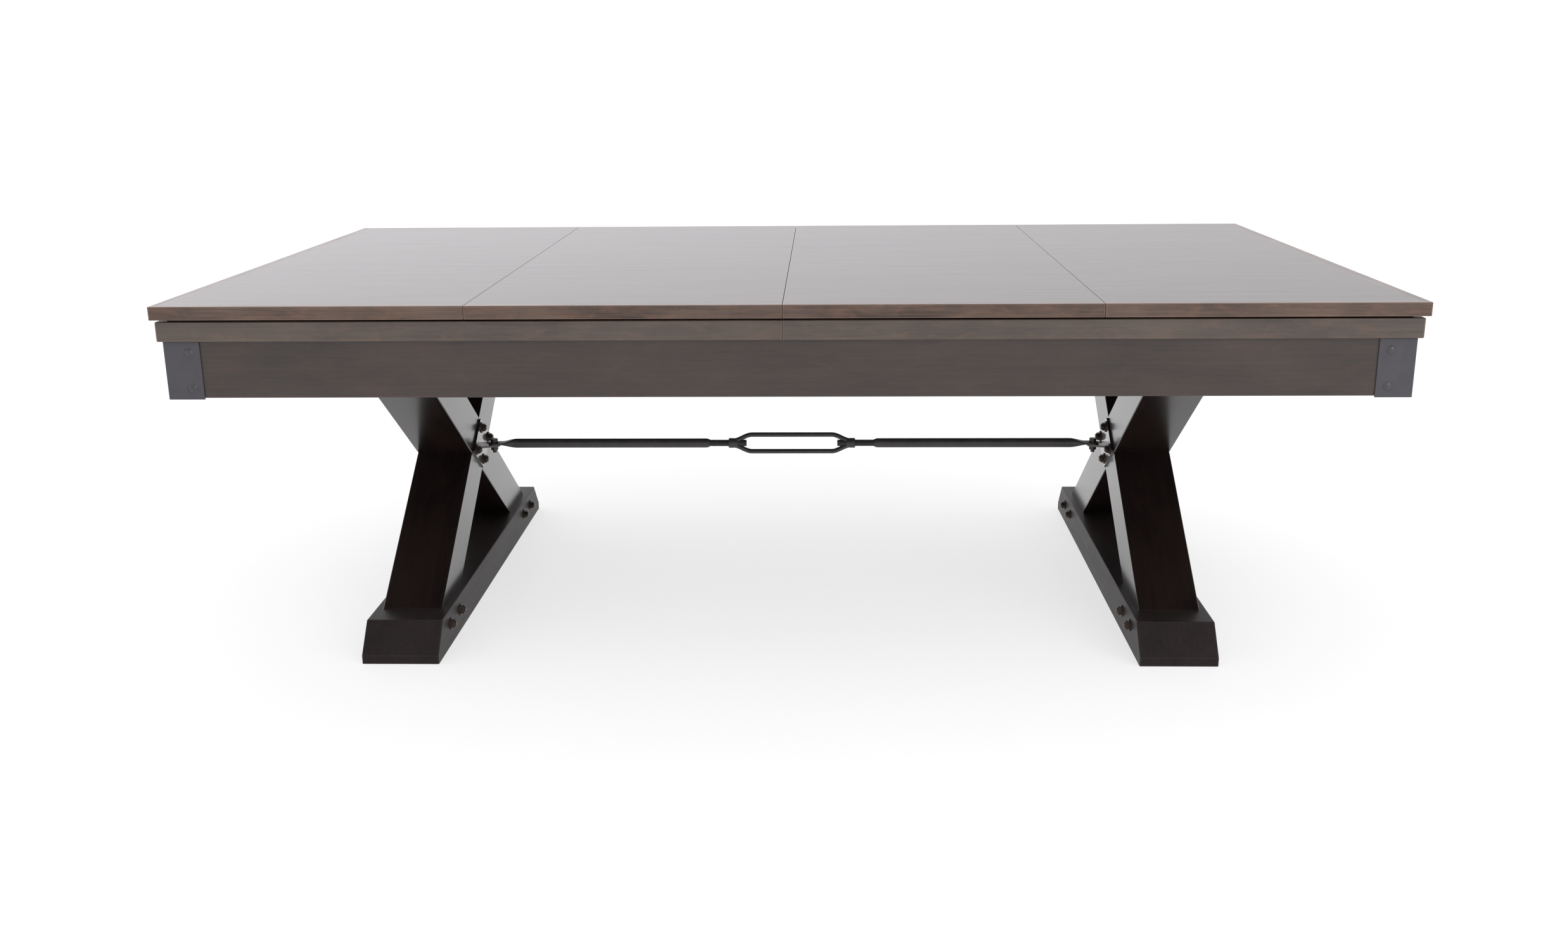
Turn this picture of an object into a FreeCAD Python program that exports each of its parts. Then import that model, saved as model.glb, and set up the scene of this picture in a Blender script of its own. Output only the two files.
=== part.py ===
import FreeCAD
import Part
import math
import os

# Pool table with a four-piece dining top, X-shaped trestle legs and a tie rod.
# Millimetres. Origin: centre of the footprint, on the floor.
# X runs along the table, Y across it (front at -Y), Z is up.

# Dining top
TOP_L = 2591.0
TOP_W = 1473.0
TOP_Z = 838.0
PANEL_T = 28.0
PANEL_GAP = 1.0
EDGING_W = 22.0
PANEL_EASE = 0.8
PAD_W = 20.0
PAD_SETBACK = 18.0
PAD_FROM_SEAM = 25.0
PAD_CORNER_GAP = 10.0

# Playing field and rails
PLAY_L = 2235.2
PLAY_W = 1117.6
RAIL_L = 2575.0
RAIL_W = 1457.0
RAIL_TOP = 805.7
RAIL_BOTTOM = 763.8
RAIL_SEAM = 1.0
RAIL_EASE = 3.0
CUSHION_D = 50.0
CUSHION_BOTTOM = 771.0
CUSHION_EASE = 1.8
NOSE_Z = 799.3
SIGHT_R = 5.5
SIGHT_T = 2.0
SIGHT_FROM_NOSE = 93.7

# Slate bed
SLATE_L = 2478.0
SLATE_W = 1360.0
SLATE_TOP = 763.0
SLATE_T = 25.0
SLATE_SEAM = 0.5
SLATE_CUT = 1.5

# Bolts up through the slate into the rails
RAIL_BOLT_XS = (200.0, 620.0, 1040.0)
RAIL_BOLT_Y = 640.0
END_BOLT_X = 1196.0
END_BOLT_YS = (-400.0, 0.0, 400.0)
RAIL_BOLT_R = 5.0
RAIL_BOLT_L = 52.0
RAIL_BOLT_HOLE_TOP = 791.0
RAIL_BOLT_FLANGE_R = 11.0
RAIL_BOLT_FLANGE_T = 2.0
RAIL_BOLT_AF = 16.0
RAIL_BOLT_HEAD_H = 6.5
SLATE_HOLE_R = 6.5
CLOTH_HOLE_R = 6.0

# Pockets: mouths are measured between cushion noses
CORNER_MOUTH = 124.0
SIDE_MOUTH = 137.0
CORNER_OFFSET = 34.0
CORNER_R = 60.0
SIDE_OFFSET = 57.2
SIDE_R = 54.0
CORNER_FACING = 38.0
SIDE_FACING = 76.0
CORNER_OPEN_HALF = 62.0
SIDE_OPEN_HALF = 84.0
POCKET_WALL = 4.0
POCKET_BOTTOM = 650.0
POCKET_RIM = 803.0
FLANGE_W = 12.0
FLANGE_T = 4.0

# Cabinet
APRON_L = 2554.0
APRON_W = 1436.0
APRON_T = 22.0
APRON_BOTTOM = 643.7
BRACKET_W = 76.0
BRACKET_T = 3.0
BRACKET_DROP = 2.5
BRACKET_EASE = 3.5
RIVET_R = 9.7
RIVET_H = 4.5
RIVET_SHANK_R = 4.0
RIVET_SHANK_L = 18.0
RIVET_FROM_CORNER = 52.4
RIVET_ZS = (739.0, 664.5)

# Slate frame inside the aprons
BEAM_BOTTOM = 653.0
BEAM_IN = 500.0
BEAM_W = 45.0
BEAM_END = 1085.0
MIDDLE_BEAM_IN = 368.0
MIDDLE_BEAM_W = 90.0
STRIP_H = 45.0
STRIP_D = 41.0
STRIP_START = 80.0
STRIP_END = 1080.0
END_STRIP_HALF = 510.0

# Trestle legs
LEG_IN = 808.3
LEG_OUT = 946.5
LEG_T = 112.8
LEG_ANGLE = 35.8
CROSS_Z = 361.0
LEG_TOP = 650.0
TENON_T = 70.0
TENON_W = 50.0
TENON_Z = 15.0
TENON_PLAY = 0.2
LAP_GAP = 0.1
LEG_EASE = 2.5

# Feet
FOOT_IN = 788.5
FOOT_OUT = 963.8
FOOT_HALF = 605.0
FOOT_TOP_HALF = 548.0
FOOT_H = 84.8
FOOT_LIP = 20.0
FOOT_EASE = 2.5

# Hex bolts, with a round crown on the head and a washer under it
BOLT_R = 6.0
BOLT_HOLE_R = 6.2
BOLT_L = 110.0
BOLT_AF = 18.0
BOLT_HEAD_H = 8.0
CROWN_R = 6.6
CROWN_H = 3.0
WASHER_R = 14.0
WASHER_T = 2.5
FOOT_BOLT_Z = 49.0
FOOT_BOLT_DY = 46.0
PLATE_BOLT_Z = 42.0
PLATE_BOLT_Y = 66.0

# Tie hardware
PLATE_T = 5.0
PLATE_HALF_Y = 92.0
PLATE_HALF_Z = 66.0
PLATE_EASE = 5.0
TAB_T = 5.0
TAB_ROOT_HALF = 25.0
TAB_BOLT_X = 772.0
TAB_BOLT_R = 5.0
TAB_HOLE_R = 5.25
TAB_BOLT_AF = 17.0
TAB_HEAD_H = 7.5
TAB_NUT_H = 8.0
TAB_WASHER_R = 10.0
TAB_WASHER_T = 2.0
TAB_BOLT_END = 24.0
TUBE_R = 12.0
TUBE_START = 212.0
TUBE_SWAGE = 7.0
TUBE_SQUASH = 714.0
TUBE_FLAT = 752.0
FLAT_HALF = 15.0
FLAT_T = 5.0
ROD_R = 9.0
ROD_START = 117.0
ROD_L = 135.0
ROD_CHAMFER = 1.2

# Turnbuckle body: two hubs joined by two bowed arms
BODY_HALF = 163.0
HUB_L = 24.0
HUB_R = 12.75
HUB_EASE = 2.0
ARM_R = 5.9
ARM_OUT = 28.0
ROOT_X = 150.0
ROOT_Z = 6.5
BEND_X = 117.0
BEND_R = 50.0

SLATE_BOTTOM = SLATE_TOP - SLATE_T
PANEL_BOTTOM = TOP_Z - PANEL_T
NOSE_X = PLAY_L / 2.0
NOSE_Y = PLAY_W / 2.0
WOOD_X = NOSE_X + CUSHION_D
WOOD_Y = NOSE_Y + CUSHION_D
RAIL_X = RAIL_L / 2.0
RAIL_Y = RAIL_W / 2.0
CORNER_CX = NOSE_X + CORNER_OFFSET
CORNER_CY = NOSE_Y + CORNER_OFFSET
SIDE_CY = NOSE_Y + SIDE_OFFSET
LEG_MID = (LEG_IN + LEG_OUT) / 2.0

V = FreeCAD.Vector
os.makedirs("parts", exist_ok=True)


def box(x0, x1, y0, y1, z0, z1):
    return Part.makeBox(x1 - x0, y1 - y0, z1 - z0, V(x0, y0, z0))


def cyl(r, h, base, axis):
    return Part.makeCylinder(r, h, base, axis)


def plan(points, z0, z1):
    """Upright prism from a plan outline in X and Y."""
    corners = [V(x, y, z0) for x, y in points]
    face = Part.Face(Part.makePolygon(corners + corners[:1]))
    return face.extrude(V(0, 0, z1 - z0))


def side(points, x0, x1):
    """Prism along X from an outline in Y and Z."""
    corners = [V(x0, y, z) for y, z in points]
    face = Part.Face(Part.makePolygon(corners + corners[:1]))
    return face.extrude(V(x1 - x0, 0, 0))


def hexagon(af, h, base, axis):
    """Hexagonal prism with a slightly domed outer rim, from base along axis."""
    r = af / math.sqrt(3.0)
    ring = []
    for i in range(7):
        a = math.radians(60.0 * i + 30.0)
        ring.append(V(r * math.cos(a), r * math.sin(a), 0))
    prism = Part.Face(Part.makePolygon(ring)).extrude(V(0, 0, h))
    cone = Part.makeCone(r + h, af / 2.0 * 0.97, h + r - af / 2.0)
    cone.translate(V(0, 0, h - (h + r - af / 2.0)))
    prism = prism.common(cone)
    turn = FreeCAD.Rotation(V(0, 0, 1), axis)
    prism.Placement = FreeCAD.Placement(base, turn)
    return prism


def flip_x(shape):
    return shape.mirror(V(0, 0, 0), V(1, 0, 0))


def flip_y(shape):
    return shape.mirror(V(0, 0, 0), V(0, 1, 0))


def four_ways(shape):
    return [shape, flip_x(shape), flip_y(shape), flip_x(flip_y(shape))]


def ease(shape, r, wanted):
    edges = [e for e in shape.Edges if wanted(e)]
    return shape.makeFillet(r, edges)


def save(name, shapes):
    if not isinstance(shapes, list):
        shapes = [shapes]
    solids = []
    for shape in shapes:
        solids.extend(shape.Solids)
    for solid in solids:
        if not solid.isValid() or solid.Volume <= 0:
            raise ValueError(name + " has an invalid solid")
    body = solids[0] if len(solids) == 1 else Part.makeCompound(solids)
    body.exportStep("parts/" + name + ".step")
    print(name, len(solids), round(sum(s.Volume for s in solids) / 1000.0, 1))


# Dining panels: veneered boards, solid edging, felt pads
def build_panels():
    width = (TOP_L - 3.0 * PANEL_GAP) / 4.0
    half = TOP_W / 2.0
    inner = half - EDGING_W
    for i in range(4):
        x0 = -TOP_L / 2.0 + i * (width + PANEL_GAP)
        x1 = x0 + width
        whole = box(x0, x1, -half, half, PANEL_BOTTOM, TOP_Z)
        whole = whole.makeFillet(PANEL_EASE, whole.Edges)
        bx0 = x0 + EDGING_W if i == 0 else x0
        bx1 = x1 - EDGING_W if i == 3 else x1
        z0 = PANEL_BOTTOM - 1.0
        z1 = TOP_Z + 1.0
        board = whole.common(box(bx0, bx1, -inner, inner, z0, z1))
        front = plan([(x0, -half), (x1, -half), (bx1, -inner), (bx0, -inner)], z0, z1)
        strips = [whole.common(front), whole.common(flip_y(front))]
        if i == 0:
            end = plan([(x0, -half), (bx0, -inner), (bx0, inner), (x0, half)], z0, z1)
            strips.append(whole.common(end))
        if i == 3:
            end = plan([(x1, -half), (x1, half), (bx1, inner), (bx1, -inner)], z0, z1)
            strips.append(whole.common(end))
        pad_y = RAIL_Y - PAD_SETBACK
        pad_x = RAIL_X - PAD_SETBACK
        px0 = max(x0 + PAD_FROM_SEAM, -pad_x)
        px1 = min(x1 - PAD_FROM_SEAM, pad_x)
        pad = box(px0, px1, -pad_y, -pad_y + PAD_W, RAIL_TOP, PANEL_BOTTOM)
        pads = [pad, flip_y(pad)]
        run = pad_y - PAD_W - PAD_CORNER_GAP
        if i == 0:
            pads.append(box(-pad_x, -pad_x + PAD_W, -run, run, RAIL_TOP, PANEL_BOTTOM))
        if i == 3:
            pads.append(box(pad_x - PAD_W, pad_x, -run, run, RAIL_TOP, PANEL_BOTTOM))
        name = str(i + 1)
        save("dining_panel_" + name, board)
        save("panel_edging_" + name, strips)
        save("panel_pads_" + name, pads)


# Fixing points shared by rails, slate and cloth
def rail_bolt_points():
    points = []
    for x in RAIL_BOLT_XS:
        for sx in (-1.0, 1.0):
            for sy in (-1.0, 1.0):
                points.append((sx * x, sy * RAIL_BOLT_Y))
    for y in END_BOLT_YS:
        for sx in (-1.0, 1.0):
            points.append((sx * END_BOLT_X, y))
    return points


def sight_points():
    points = []
    step = PLAY_L / 8.0
    for k in (1.0, 2.0, 3.0):
        for sx in (-1.0, 1.0):
            for sy in (-1.0, 1.0):
                points.append((sx * k * step, sy * (NOSE_Y + SIGHT_FROM_NOSE)))
    for k in (-1.0, 0.0, 1.0):
        for sx in (-1.0, 1.0):
            points.append((sx * (NOSE_X + SIGHT_FROM_NOSE), k * step))
    return points


def pocket_cuts(extra, z0, z1):
    h = z1 - z0
    corner = cyl(CORNER_R + extra, h, V(CORNER_CX, CORNER_CY, z0), V(0, 0, 1))
    middle = cyl(SIDE_R + extra, h, V(0, SIDE_CY, z0), V(0, 0, 1))
    return four_ways(corner) + [middle, flip_y(middle)]


def drill(shape, points, r, z0, z1):
    cutters = []
    for x, y in points:
        if shape.BoundBox.isInside(V(x, y, shape.BoundBox.Center.z)):
            cutters.append(cyl(r, z1 - z0, V(x, y, z0), V(0, 0, 1)))
    if cutters:
        shape = shape.cut(cutters)
    return shape


def finish_rail(blank):
    blank = blank.cut(pocket_cuts(1.0, RAIL_BOTTOM - 1.0, RAIL_TOP + 1.0))
    blank = drill(blank, rail_bolt_points(), RAIL_BOLT_R + 0.1, RAIL_BOTTOM - 1.0, RAIL_BOLT_HOLE_TOP)
    return drill(blank, sight_points(), SIGHT_R + 0.05, RAIL_TOP - SIGHT_T, RAIL_TOP + 1.0)


def build_rails():
    seam = RAIL_SEAM / 2.0
    outline = [(-RAIL_X, -RAIL_Y), (-seam, -RAIL_Y), (-seam, -WOOD_Y), (-WOOD_X, -WOOD_Y)]
    front = plan(outline, RAIL_BOTTOM, RAIL_TOP)
    on_face = lambda e: abs(e.BoundBox.YMax + RAIL_Y) < 0.01 and e.BoundBox.XLength > 100.0
    front = ease(front, RAIL_EASE, on_face)
    outline = [(-RAIL_X, -RAIL_Y), (-WOOD_X, -WOOD_Y), (-WOOD_X, WOOD_Y), (-RAIL_X, RAIL_Y)]
    end = plan(outline, RAIL_BOTTOM, RAIL_TOP)
    on_end = lambda e: abs(e.BoundBox.XMax + RAIL_X) < 0.01 and e.BoundBox.YLength > 100.0
    end = ease(end, RAIL_EASE, on_end)
    save("rail_front_left", finish_rail(front))
    save("rail_front_right", finish_rail(flip_x(front)))
    save("rail_back_left", finish_rail(flip_y(front)))
    save("rail_back_right", finish_rail(flip_x(flip_y(front))))
    save("rail_left_end", finish_rail(end))
    save("rail_right_end", finish_rail(flip_x(end)))


# Cushion section: d is the distance from the rail wood, towards the field
def cushion_section():
    d = CUSHION_D
    return [(0.0, CUSHION_BOTTOM), (12.0, CUSHION_BOTTOM), (d - 7.0, 788.0), (d, NOSE_Z - 3.0),
            (d, NOSE_Z + 1.0), (d - 4.0, NOSE_Z + 3.4), (0.0, RAIL_TOP - 0.4)]


def build_cushions():
    corner_run = CUSHION_D / math.tan(math.radians(CORNER_FACING))
    side_run = CUSHION_D / math.tan(math.radians(SIDE_FACING))
    corner_nose = CORNER_MOUTH / math.sqrt(2.0)
    nose = lambda e: e.BoundBox.ZMin > NOSE_Z - 4.0 and e.BoundBox.ZMax < NOSE_Z + 2.0
    section = [(-WOOD_Y + d, z) for d, z in cushion_section()]
    bar = side(section, -RAIL_X, 0.0)
    bar = ease(bar, CUSHION_EASE, lambda e: nose(e) and e.BoundBox.XLength > 100.0)
    outline = [(-NOSE_X + corner_nose, -NOSE_Y), (-SIDE_MOUTH / 2.0, -NOSE_Y),
               (-SIDE_MOUTH / 2.0 + side_run, -WOOD_Y),
               (-NOSE_X + corner_nose - corner_run, -WOOD_Y)]
    front = bar.common(plan(outline, RAIL_BOTTOM, TOP_Z))
    section = [(WOOD_X - d, z) for d, z in cushion_section()]
    corners = [V(x, -RAIL_Y, z) for x, z in section]
    face = Part.Face(Part.makePolygon(corners + corners[:1]))
    bar = face.extrude(V(0, RAIL_W, 0))
    bar = ease(bar, CUSHION_EASE, lambda e: nose(e) and e.BoundBox.YLength > 100.0)
    run = NOSE_Y - corner_nose
    outline = [(NOSE_X, -run), (WOOD_X, -run - corner_run),
               (WOOD_X, run + corner_run), (NOSE_X, run)]
    end = bar.common(plan(outline, RAIL_BOTTOM, TOP_Z))
    save("cushion_front_left", front)
    save("cushion_front_right", flip_x(front))
    save("cushion_back_left", flip_y(front))
    save("cushion_back_right", flip_x(flip_y(front)))
    save("cushion_right_end", end)
    save("cushion_left_end", flip_x(end))


def build_sights():
    discs = []
    for x, y in sight_points():
        discs.append(cyl(SIGHT_R, SIGHT_T, V(x, y, RAIL_TOP - SIGHT_T), V(0, 0, 1)))
    save("rail_sights", discs)


# Drop pockets: a cup below the slate, a flange, and a guard behind the mouth
def pocket(cx, cy, r, facing, open_half):
    up = V(0, 0, 1)
    cup = cyl(r, POCKET_RIM - POCKET_BOTTOM, V(cx, cy, POCKET_BOTTOM), up)
    cup = cup.fuse(cyl(r + FLANGE_W, FLANGE_T, V(cx, cy, SLATE_BOTTOM - FLANGE_T), up))
    floor_z = POCKET_BOTTOM + POCKET_WALL
    cup = cup.cut(cyl(r - POCKET_WALL, POCKET_RIM - floor_z + 1.0, V(cx, cy, floor_z), up))
    reach = 3.0 * r
    wedge = [(cx, cy)]
    for a in (facing - open_half, facing, facing + open_half):
        wedge.append((cx + reach * math.cos(math.radians(a)),
                      cy + reach * math.sin(math.radians(a))))
    return cup.cut(plan(wedge, SLATE_TOP - 0.5, POCKET_RIM + 1.0))


def build_pockets():
    corner = pocket(CORNER_CX, CORNER_CY, CORNER_R, 225.0, CORNER_OPEN_HALF)
    middle = pocket(0.0, SIDE_CY, SIDE_R, 270.0, SIDE_OPEN_HALF)
    save("corner_pockets", four_ways(corner))
    save("side_pockets", [middle, flip_y(middle)])


def build_slate():
    third = SLATE_L / 6.0
    spans = {"slate_left": (-SLATE_L / 2.0, -third - SLATE_SEAM / 2.0),
             "slate_centre": (-third + SLATE_SEAM / 2.0, third - SLATE_SEAM / 2.0),
             "slate_right": (third + SLATE_SEAM / 2.0, SLATE_L / 2.0)}
    cuts = pocket_cuts(SLATE_CUT, SLATE_BOTTOM - 1.0, SLATE_TOP + 1.0)
    for name, (x0, x1) in spans.items():
        piece = box(x0, x1, -SLATE_W / 2.0, SLATE_W / 2.0, SLATE_BOTTOM, SLATE_TOP)
        piece = piece.cut(cuts)
        save(name, drill(piece, rail_bolt_points(), SLATE_HOLE_R, SLATE_BOTTOM - 1.0, SLATE_TOP + 1.0))
    cloth = box(-SLATE_L / 2.0, SLATE_L / 2.0, -SLATE_W / 2.0, SLATE_W / 2.0,
                SLATE_TOP, RAIL_BOTTOM)
    cloth = cloth.cut(pocket_cuts(SLATE_CUT, SLATE_TOP - 1.0, RAIL_BOTTOM + 1.0))
    cloth = drill(cloth, rail_bolt_points(), CLOTH_HOLE_R, SLATE_TOP - 1.0, RAIL_BOTTOM + 1.0)
    save("bed_cloth", cloth)


# Cabinet: aprons, corner brackets and rivets
def rivet_seats():
    """Rivet positions on the front face and on the right-hand end face of one corner."""
    x = APRON_L / 2.0 + BRACKET_T
    y = APRON_W / 2.0 + BRACKET_T
    seats = []
    for z in RIVET_ZS:
        seats.append((V(x - RIVET_FROM_CORNER, -y, z), V(0, -1, 0)))
        seats.append((V(x, -y + RIVET_FROM_CORNER, z), V(1, 0, 0)))
    return seats


def build_cabinet():
    ax = APRON_L / 2.0
    ay = APRON_W / 2.0
    t = APRON_T
    holes = []
    for base, axis in rivet_seats():
        holes.extend(four_ways(cyl(RIVET_SHANK_R + 0.1, RIVET_SHANK_L + 6.0, base, axis * -1.0)))
    front = plan([(-ax, -ay), (ax, -ay), (ax - t, -ay + t), (-ax + t, -ay + t)],
                 APRON_BOTTOM, RAIL_BOTTOM)
    front = ease(front, 2.0, lambda e: e.BoundBox.ZMax < APRON_BOTTOM + 0.01
                 and e.BoundBox.YMax < -ay + 0.01)
    front = front.cut(holes)
    end = plan([(ax, -ay), (ax, ay), (ax - t, ay - t), (ax - t, -ay + t)],
               APRON_BOTTOM, RAIL_BOTTOM)
    end = ease(end, 2.0, lambda e: e.BoundBox.ZMax < APRON_BOTTOM + 0.01
               and e.BoundBox.XMin > ax - 0.01)
    end = end.cut(holes)
    save("apron_front", front)
    save("apron_back", flip_y(front))
    save("apron_right", end)
    save("apron_left", flip_x(end))

    z0 = APRON_BOTTOM - BRACKET_DROP
    z1 = RAIL_BOTTOM - 1.2
    ox = ax + BRACKET_T
    oy = ay + BRACKET_T
    bracket = box(ox - BRACKET_W, ox, -oy, -oy + BRACKET_W, z0, z1)
    bracket = ease(bracket, BRACKET_EASE, lambda e: e.BoundBox.ZLength > 50.0
                   and e.BoundBox.XMin > ox - 1.0 and e.BoundBox.YMax < -oy + 1.0)
    bracket = bracket.cut(box(0.0, ax, -ay, 0.0, z0 - 1.0, z1 + 1.0))
    bracket = bracket.cut(holes)
    save("corner_brackets", four_ways(bracket))

    rivets = []
    ball_r = (RIVET_R ** 2 + RIVET_H ** 2) / (2.0 * RIVET_H)
    for base, axis in rivet_seats():
        ball = Part.makeSphere(ball_r, base - axis * (ball_r - RIVET_H))
        head = ball.common(cyl(RIVET_R + 1.0, RIVET_H + 1.0, base, axis))
        shank = cyl(RIVET_SHANK_R, RIVET_SHANK_L, base - axis * RIVET_SHANK_L, axis)
        rivets.extend(four_ways(head.fuse(shank)))
    save("bracket_rivets", rivets)


def build_slate_frame():
    inner_x = APRON_L / 2.0 - APRON_T
    inner_y = APRON_W / 2.0 - APRON_T
    z0 = SLATE_BOTTOM - STRIP_H
    strip = box(STRIP_START, STRIP_END, inner_y - STRIP_D, inner_y, z0, SLATE_BOTTOM)
    strips = four_ways(strip)
    strip = box(inner_x - STRIP_D, inner_x, -END_STRIP_HALF, END_STRIP_HALF, z0, SLATE_BOTTOM)
    strips.extend([strip, flip_x(strip)])
    save("slate_rim_strips", strips)
    beam = box(-BEAM_END, BEAM_END, BEAM_IN, BEAM_IN + BEAM_W, BEAM_BOTTOM, SLATE_BOTTOM)
    save("long_beams", [beam, flip_y(beam)])
    beams = []
    for x0, width in ((BEAM_END - BEAM_W, BEAM_W), (MIDDLE_BEAM_IN, MIDDLE_BEAM_W)):
        beam = box(x0, x0 + width, -BEAM_IN, BEAM_IN, BEAM_BOTTOM, SLATE_BOTTOM)
        beams.extend([beam, flip_x(beam)])
    save("cross_beams", beams)
    head = box(LEG_IN, LEG_OUT, -BEAM_IN, BEAM_IN, LEG_TOP, SLATE_BOTTOM)
    save("head_beam_right", head)
    save("head_beam_left", flip_x(head))


def build_rail_bolts():
    bolts = []
    flange_z = SLATE_BOTTOM - RAIL_BOLT_FLANGE_T
    for x, y in rail_bolt_points():
        shank = cyl(RAIL_BOLT_R, RAIL_BOLT_L, V(x, y, SLATE_BOTTOM), V(0, 0, 1))
        flange = cyl(RAIL_BOLT_FLANGE_R, RAIL_BOLT_FLANGE_T, V(x, y, flange_z), V(0, 0, 1))
        head = hexagon(RAIL_BOLT_AF, RAIL_BOLT_HEAD_H, V(x, y, flange_z), V(0, 0, -1))
        bolts.append(shank.fuse([flange, head]))
    save("rail_bolts", bolts)


# Trestle legs: two half-lapped timbers a side, tenoned into a long foot
def slanted(half_t, z0, z1, lean):
    """Outline of a leaning timber cut level at z0 and z1."""
    a = math.radians(LEG_ANGLE)
    h = half_t / math.sin(a)
    y0 = lean * (z0 - CROSS_Z) / math.tan(a)
    y1 = lean * (z1 - CROSS_Z) / math.tan(a)
    return [(y0 - h, z0), (y0 + h, z0), (y1 + h, z1), (y1 - h, z1)]


def foot_bolt_seats():
    mid = (CROSS_Z - FOOT_BOLT_Z) / math.tan(math.radians(LEG_ANGLE))
    seats = []
    for dy in (-FOOT_BOLT_DY, FOOT_BOLT_DY):
        for sy in (-1.0, 1.0):
            seats.append(V(FOOT_IN, sy * (mid + dy), FOOT_BOLT_Z))
    return seats


def plate_bolt_seats():
    x = LEG_IN - PLATE_T
    return [V(x, 0, CROSS_Z + PLATE_BOLT_Z), V(x, 0, CROSS_Z - PLATE_BOLT_Z),
            V(x, PLATE_BOLT_Y, CROSS_Z), V(x, -PLATE_BOLT_Y, CROSS_Z)]


def along_x(seats, r, depth):
    return [cyl(r, depth, seat, V(1, 0, 0)) for seat in seats]


def build_trestles():
    holes = along_x(foot_bolt_seats() + plate_bolt_seats(), BOLT_HOLE_R, BOLT_L + 1.0)
    timbers = {}
    for name, lean in (("rising", 1.0), ("falling", -1.0)):
        timber = side(slanted(LEG_T / 2.0, FOOT_H, LEG_TOP, lean), LEG_IN, LEG_OUT)
        timber = ease(timber, LEG_EASE, lambda e: e.BoundBox.ZLength > 200.0)
        tenon = side(slanted(TENON_T / 2.0, TENON_Z, FOOT_H + 5.0, lean),
                     LEG_MID - TENON_W / 2.0, LEG_MID + TENON_W / 2.0)
        timbers[name] = timber.fuse(tenon).removeSplitter()
    half = LEG_T / 2.0 + LAP_GAP
    lap = side(slanted(half, FOOT_H, LEG_TOP, -1.0), LEG_MID - LAP_GAP, LEG_OUT + 1.0)
    rising = timbers["rising"].cut(lap).cut(holes)
    lap = side(slanted(half, FOOT_H, LEG_TOP, 1.0), LEG_IN - 1.0, LEG_MID + LAP_GAP)
    falling = timbers["falling"].cut(lap).cut(holes)
    save("leg_right_rising", rising)
    save("leg_right_falling", falling)
    save("leg_left_rising", flip_x(rising))
    save("leg_left_falling", flip_x(falling))

    outline = [(-FOOT_HALF, 0.0), (FOOT_HALF, 0.0), (FOOT_HALF, FOOT_LIP),
               (FOOT_TOP_HALF, FOOT_H), (-FOOT_TOP_HALF, FOOT_H), (-FOOT_HALF, FOOT_LIP)]
    foot = side(outline, FOOT_IN, FOOT_OUT)
    foot = ease(foot, FOOT_EASE, lambda e: e.BoundBox.ZMax > 1.0)
    for lean in (1.0, -1.0):
        outline = slanted(TENON_T / 2.0 + TENON_PLAY, TENON_Z - 1.0, FOOT_H + 1.0, lean)
        half = TENON_W / 2.0 + TENON_PLAY
        mortise = side(outline, LEG_MID - half, LEG_MID + half)
        foot = foot.cut(mortise)
    foot = foot.cut(holes)
    save("foot_right", foot)
    save("foot_left", flip_x(foot))


def build_hex_bolts():
    bolts = []
    washers = []
    for seat in foot_bolt_seats() + plate_bolt_seats():
        under = seat - V(WASHER_T, 0, 0)
        washer = cyl(WASHER_R, WASHER_T, under, V(1, 0, 0))
        washers.append(washer.cut(cyl(BOLT_HOLE_R, WASHER_T, under, V(1, 0, 0))))
        head = hexagon(BOLT_AF, BOLT_HEAD_H, under, V(-1, 0, 0))
        crown = cyl(CROWN_R, BOLT_HEAD_H + CROWN_H, under, V(-1, 0, 0))
        crown = ease(crown, 1.0, lambda e: e.BoundBox.XMax < under.x - BOLT_HEAD_H)
        shank = cyl(BOLT_R, BOLT_L, under, V(1, 0, 0))
        bolts.append(head.fuse([crown, shank]))
    save("hex_bolts", bolts + [flip_x(b) for b in bolts])
    for z in (CROSS_Z + FLAT_T / 2.0, CROSS_Z - FLAT_T / 2.0 - TAB_T - TAB_WASHER_T):
        under = V(TAB_BOLT_X, 0, z)
        washer = cyl(TAB_WASHER_R, TAB_WASHER_T, under, V(0, 0, 1))
        washers.append(washer.cut(cyl(TAB_HOLE_R, TAB_WASHER_T, under, V(0, 0, 1))))
    save("flat_washers", washers + [flip_x(w) for w in washers])


# Tie assembly: plates, flattened tubes, threaded ends and turnbuckle
def flattened_neck(x0, x1, z):
    """Where the round tube is pressed flat: a cone trimmed by two tapers."""
    cone = Part.makeCone(TUBE_R, FLAT_HALF + 1.0, x1 - x0, V(x0, 0, z), V(1, 0, 0))
    outline = [(x0, -TUBE_R), (x0, TUBE_R), (x1, FLAT_HALF), (x1, -FLAT_HALF)]
    neck = cone.common(plan(outline, z - TUBE_R, z + TUBE_R))
    half = FLAT_T / 2.0
    corners = [V(x0, -20.0, z - TUBE_R), V(x0, -20.0, z + TUBE_R), V(x1, -20.0, z + half),
               V(x1, -20.0, z - half), V(x0, -20.0, z - TUBE_R)]
    return neck.common(Part.Face(Part.makePolygon(corners)).extrude(V(0, 40.0, 0)))


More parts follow.
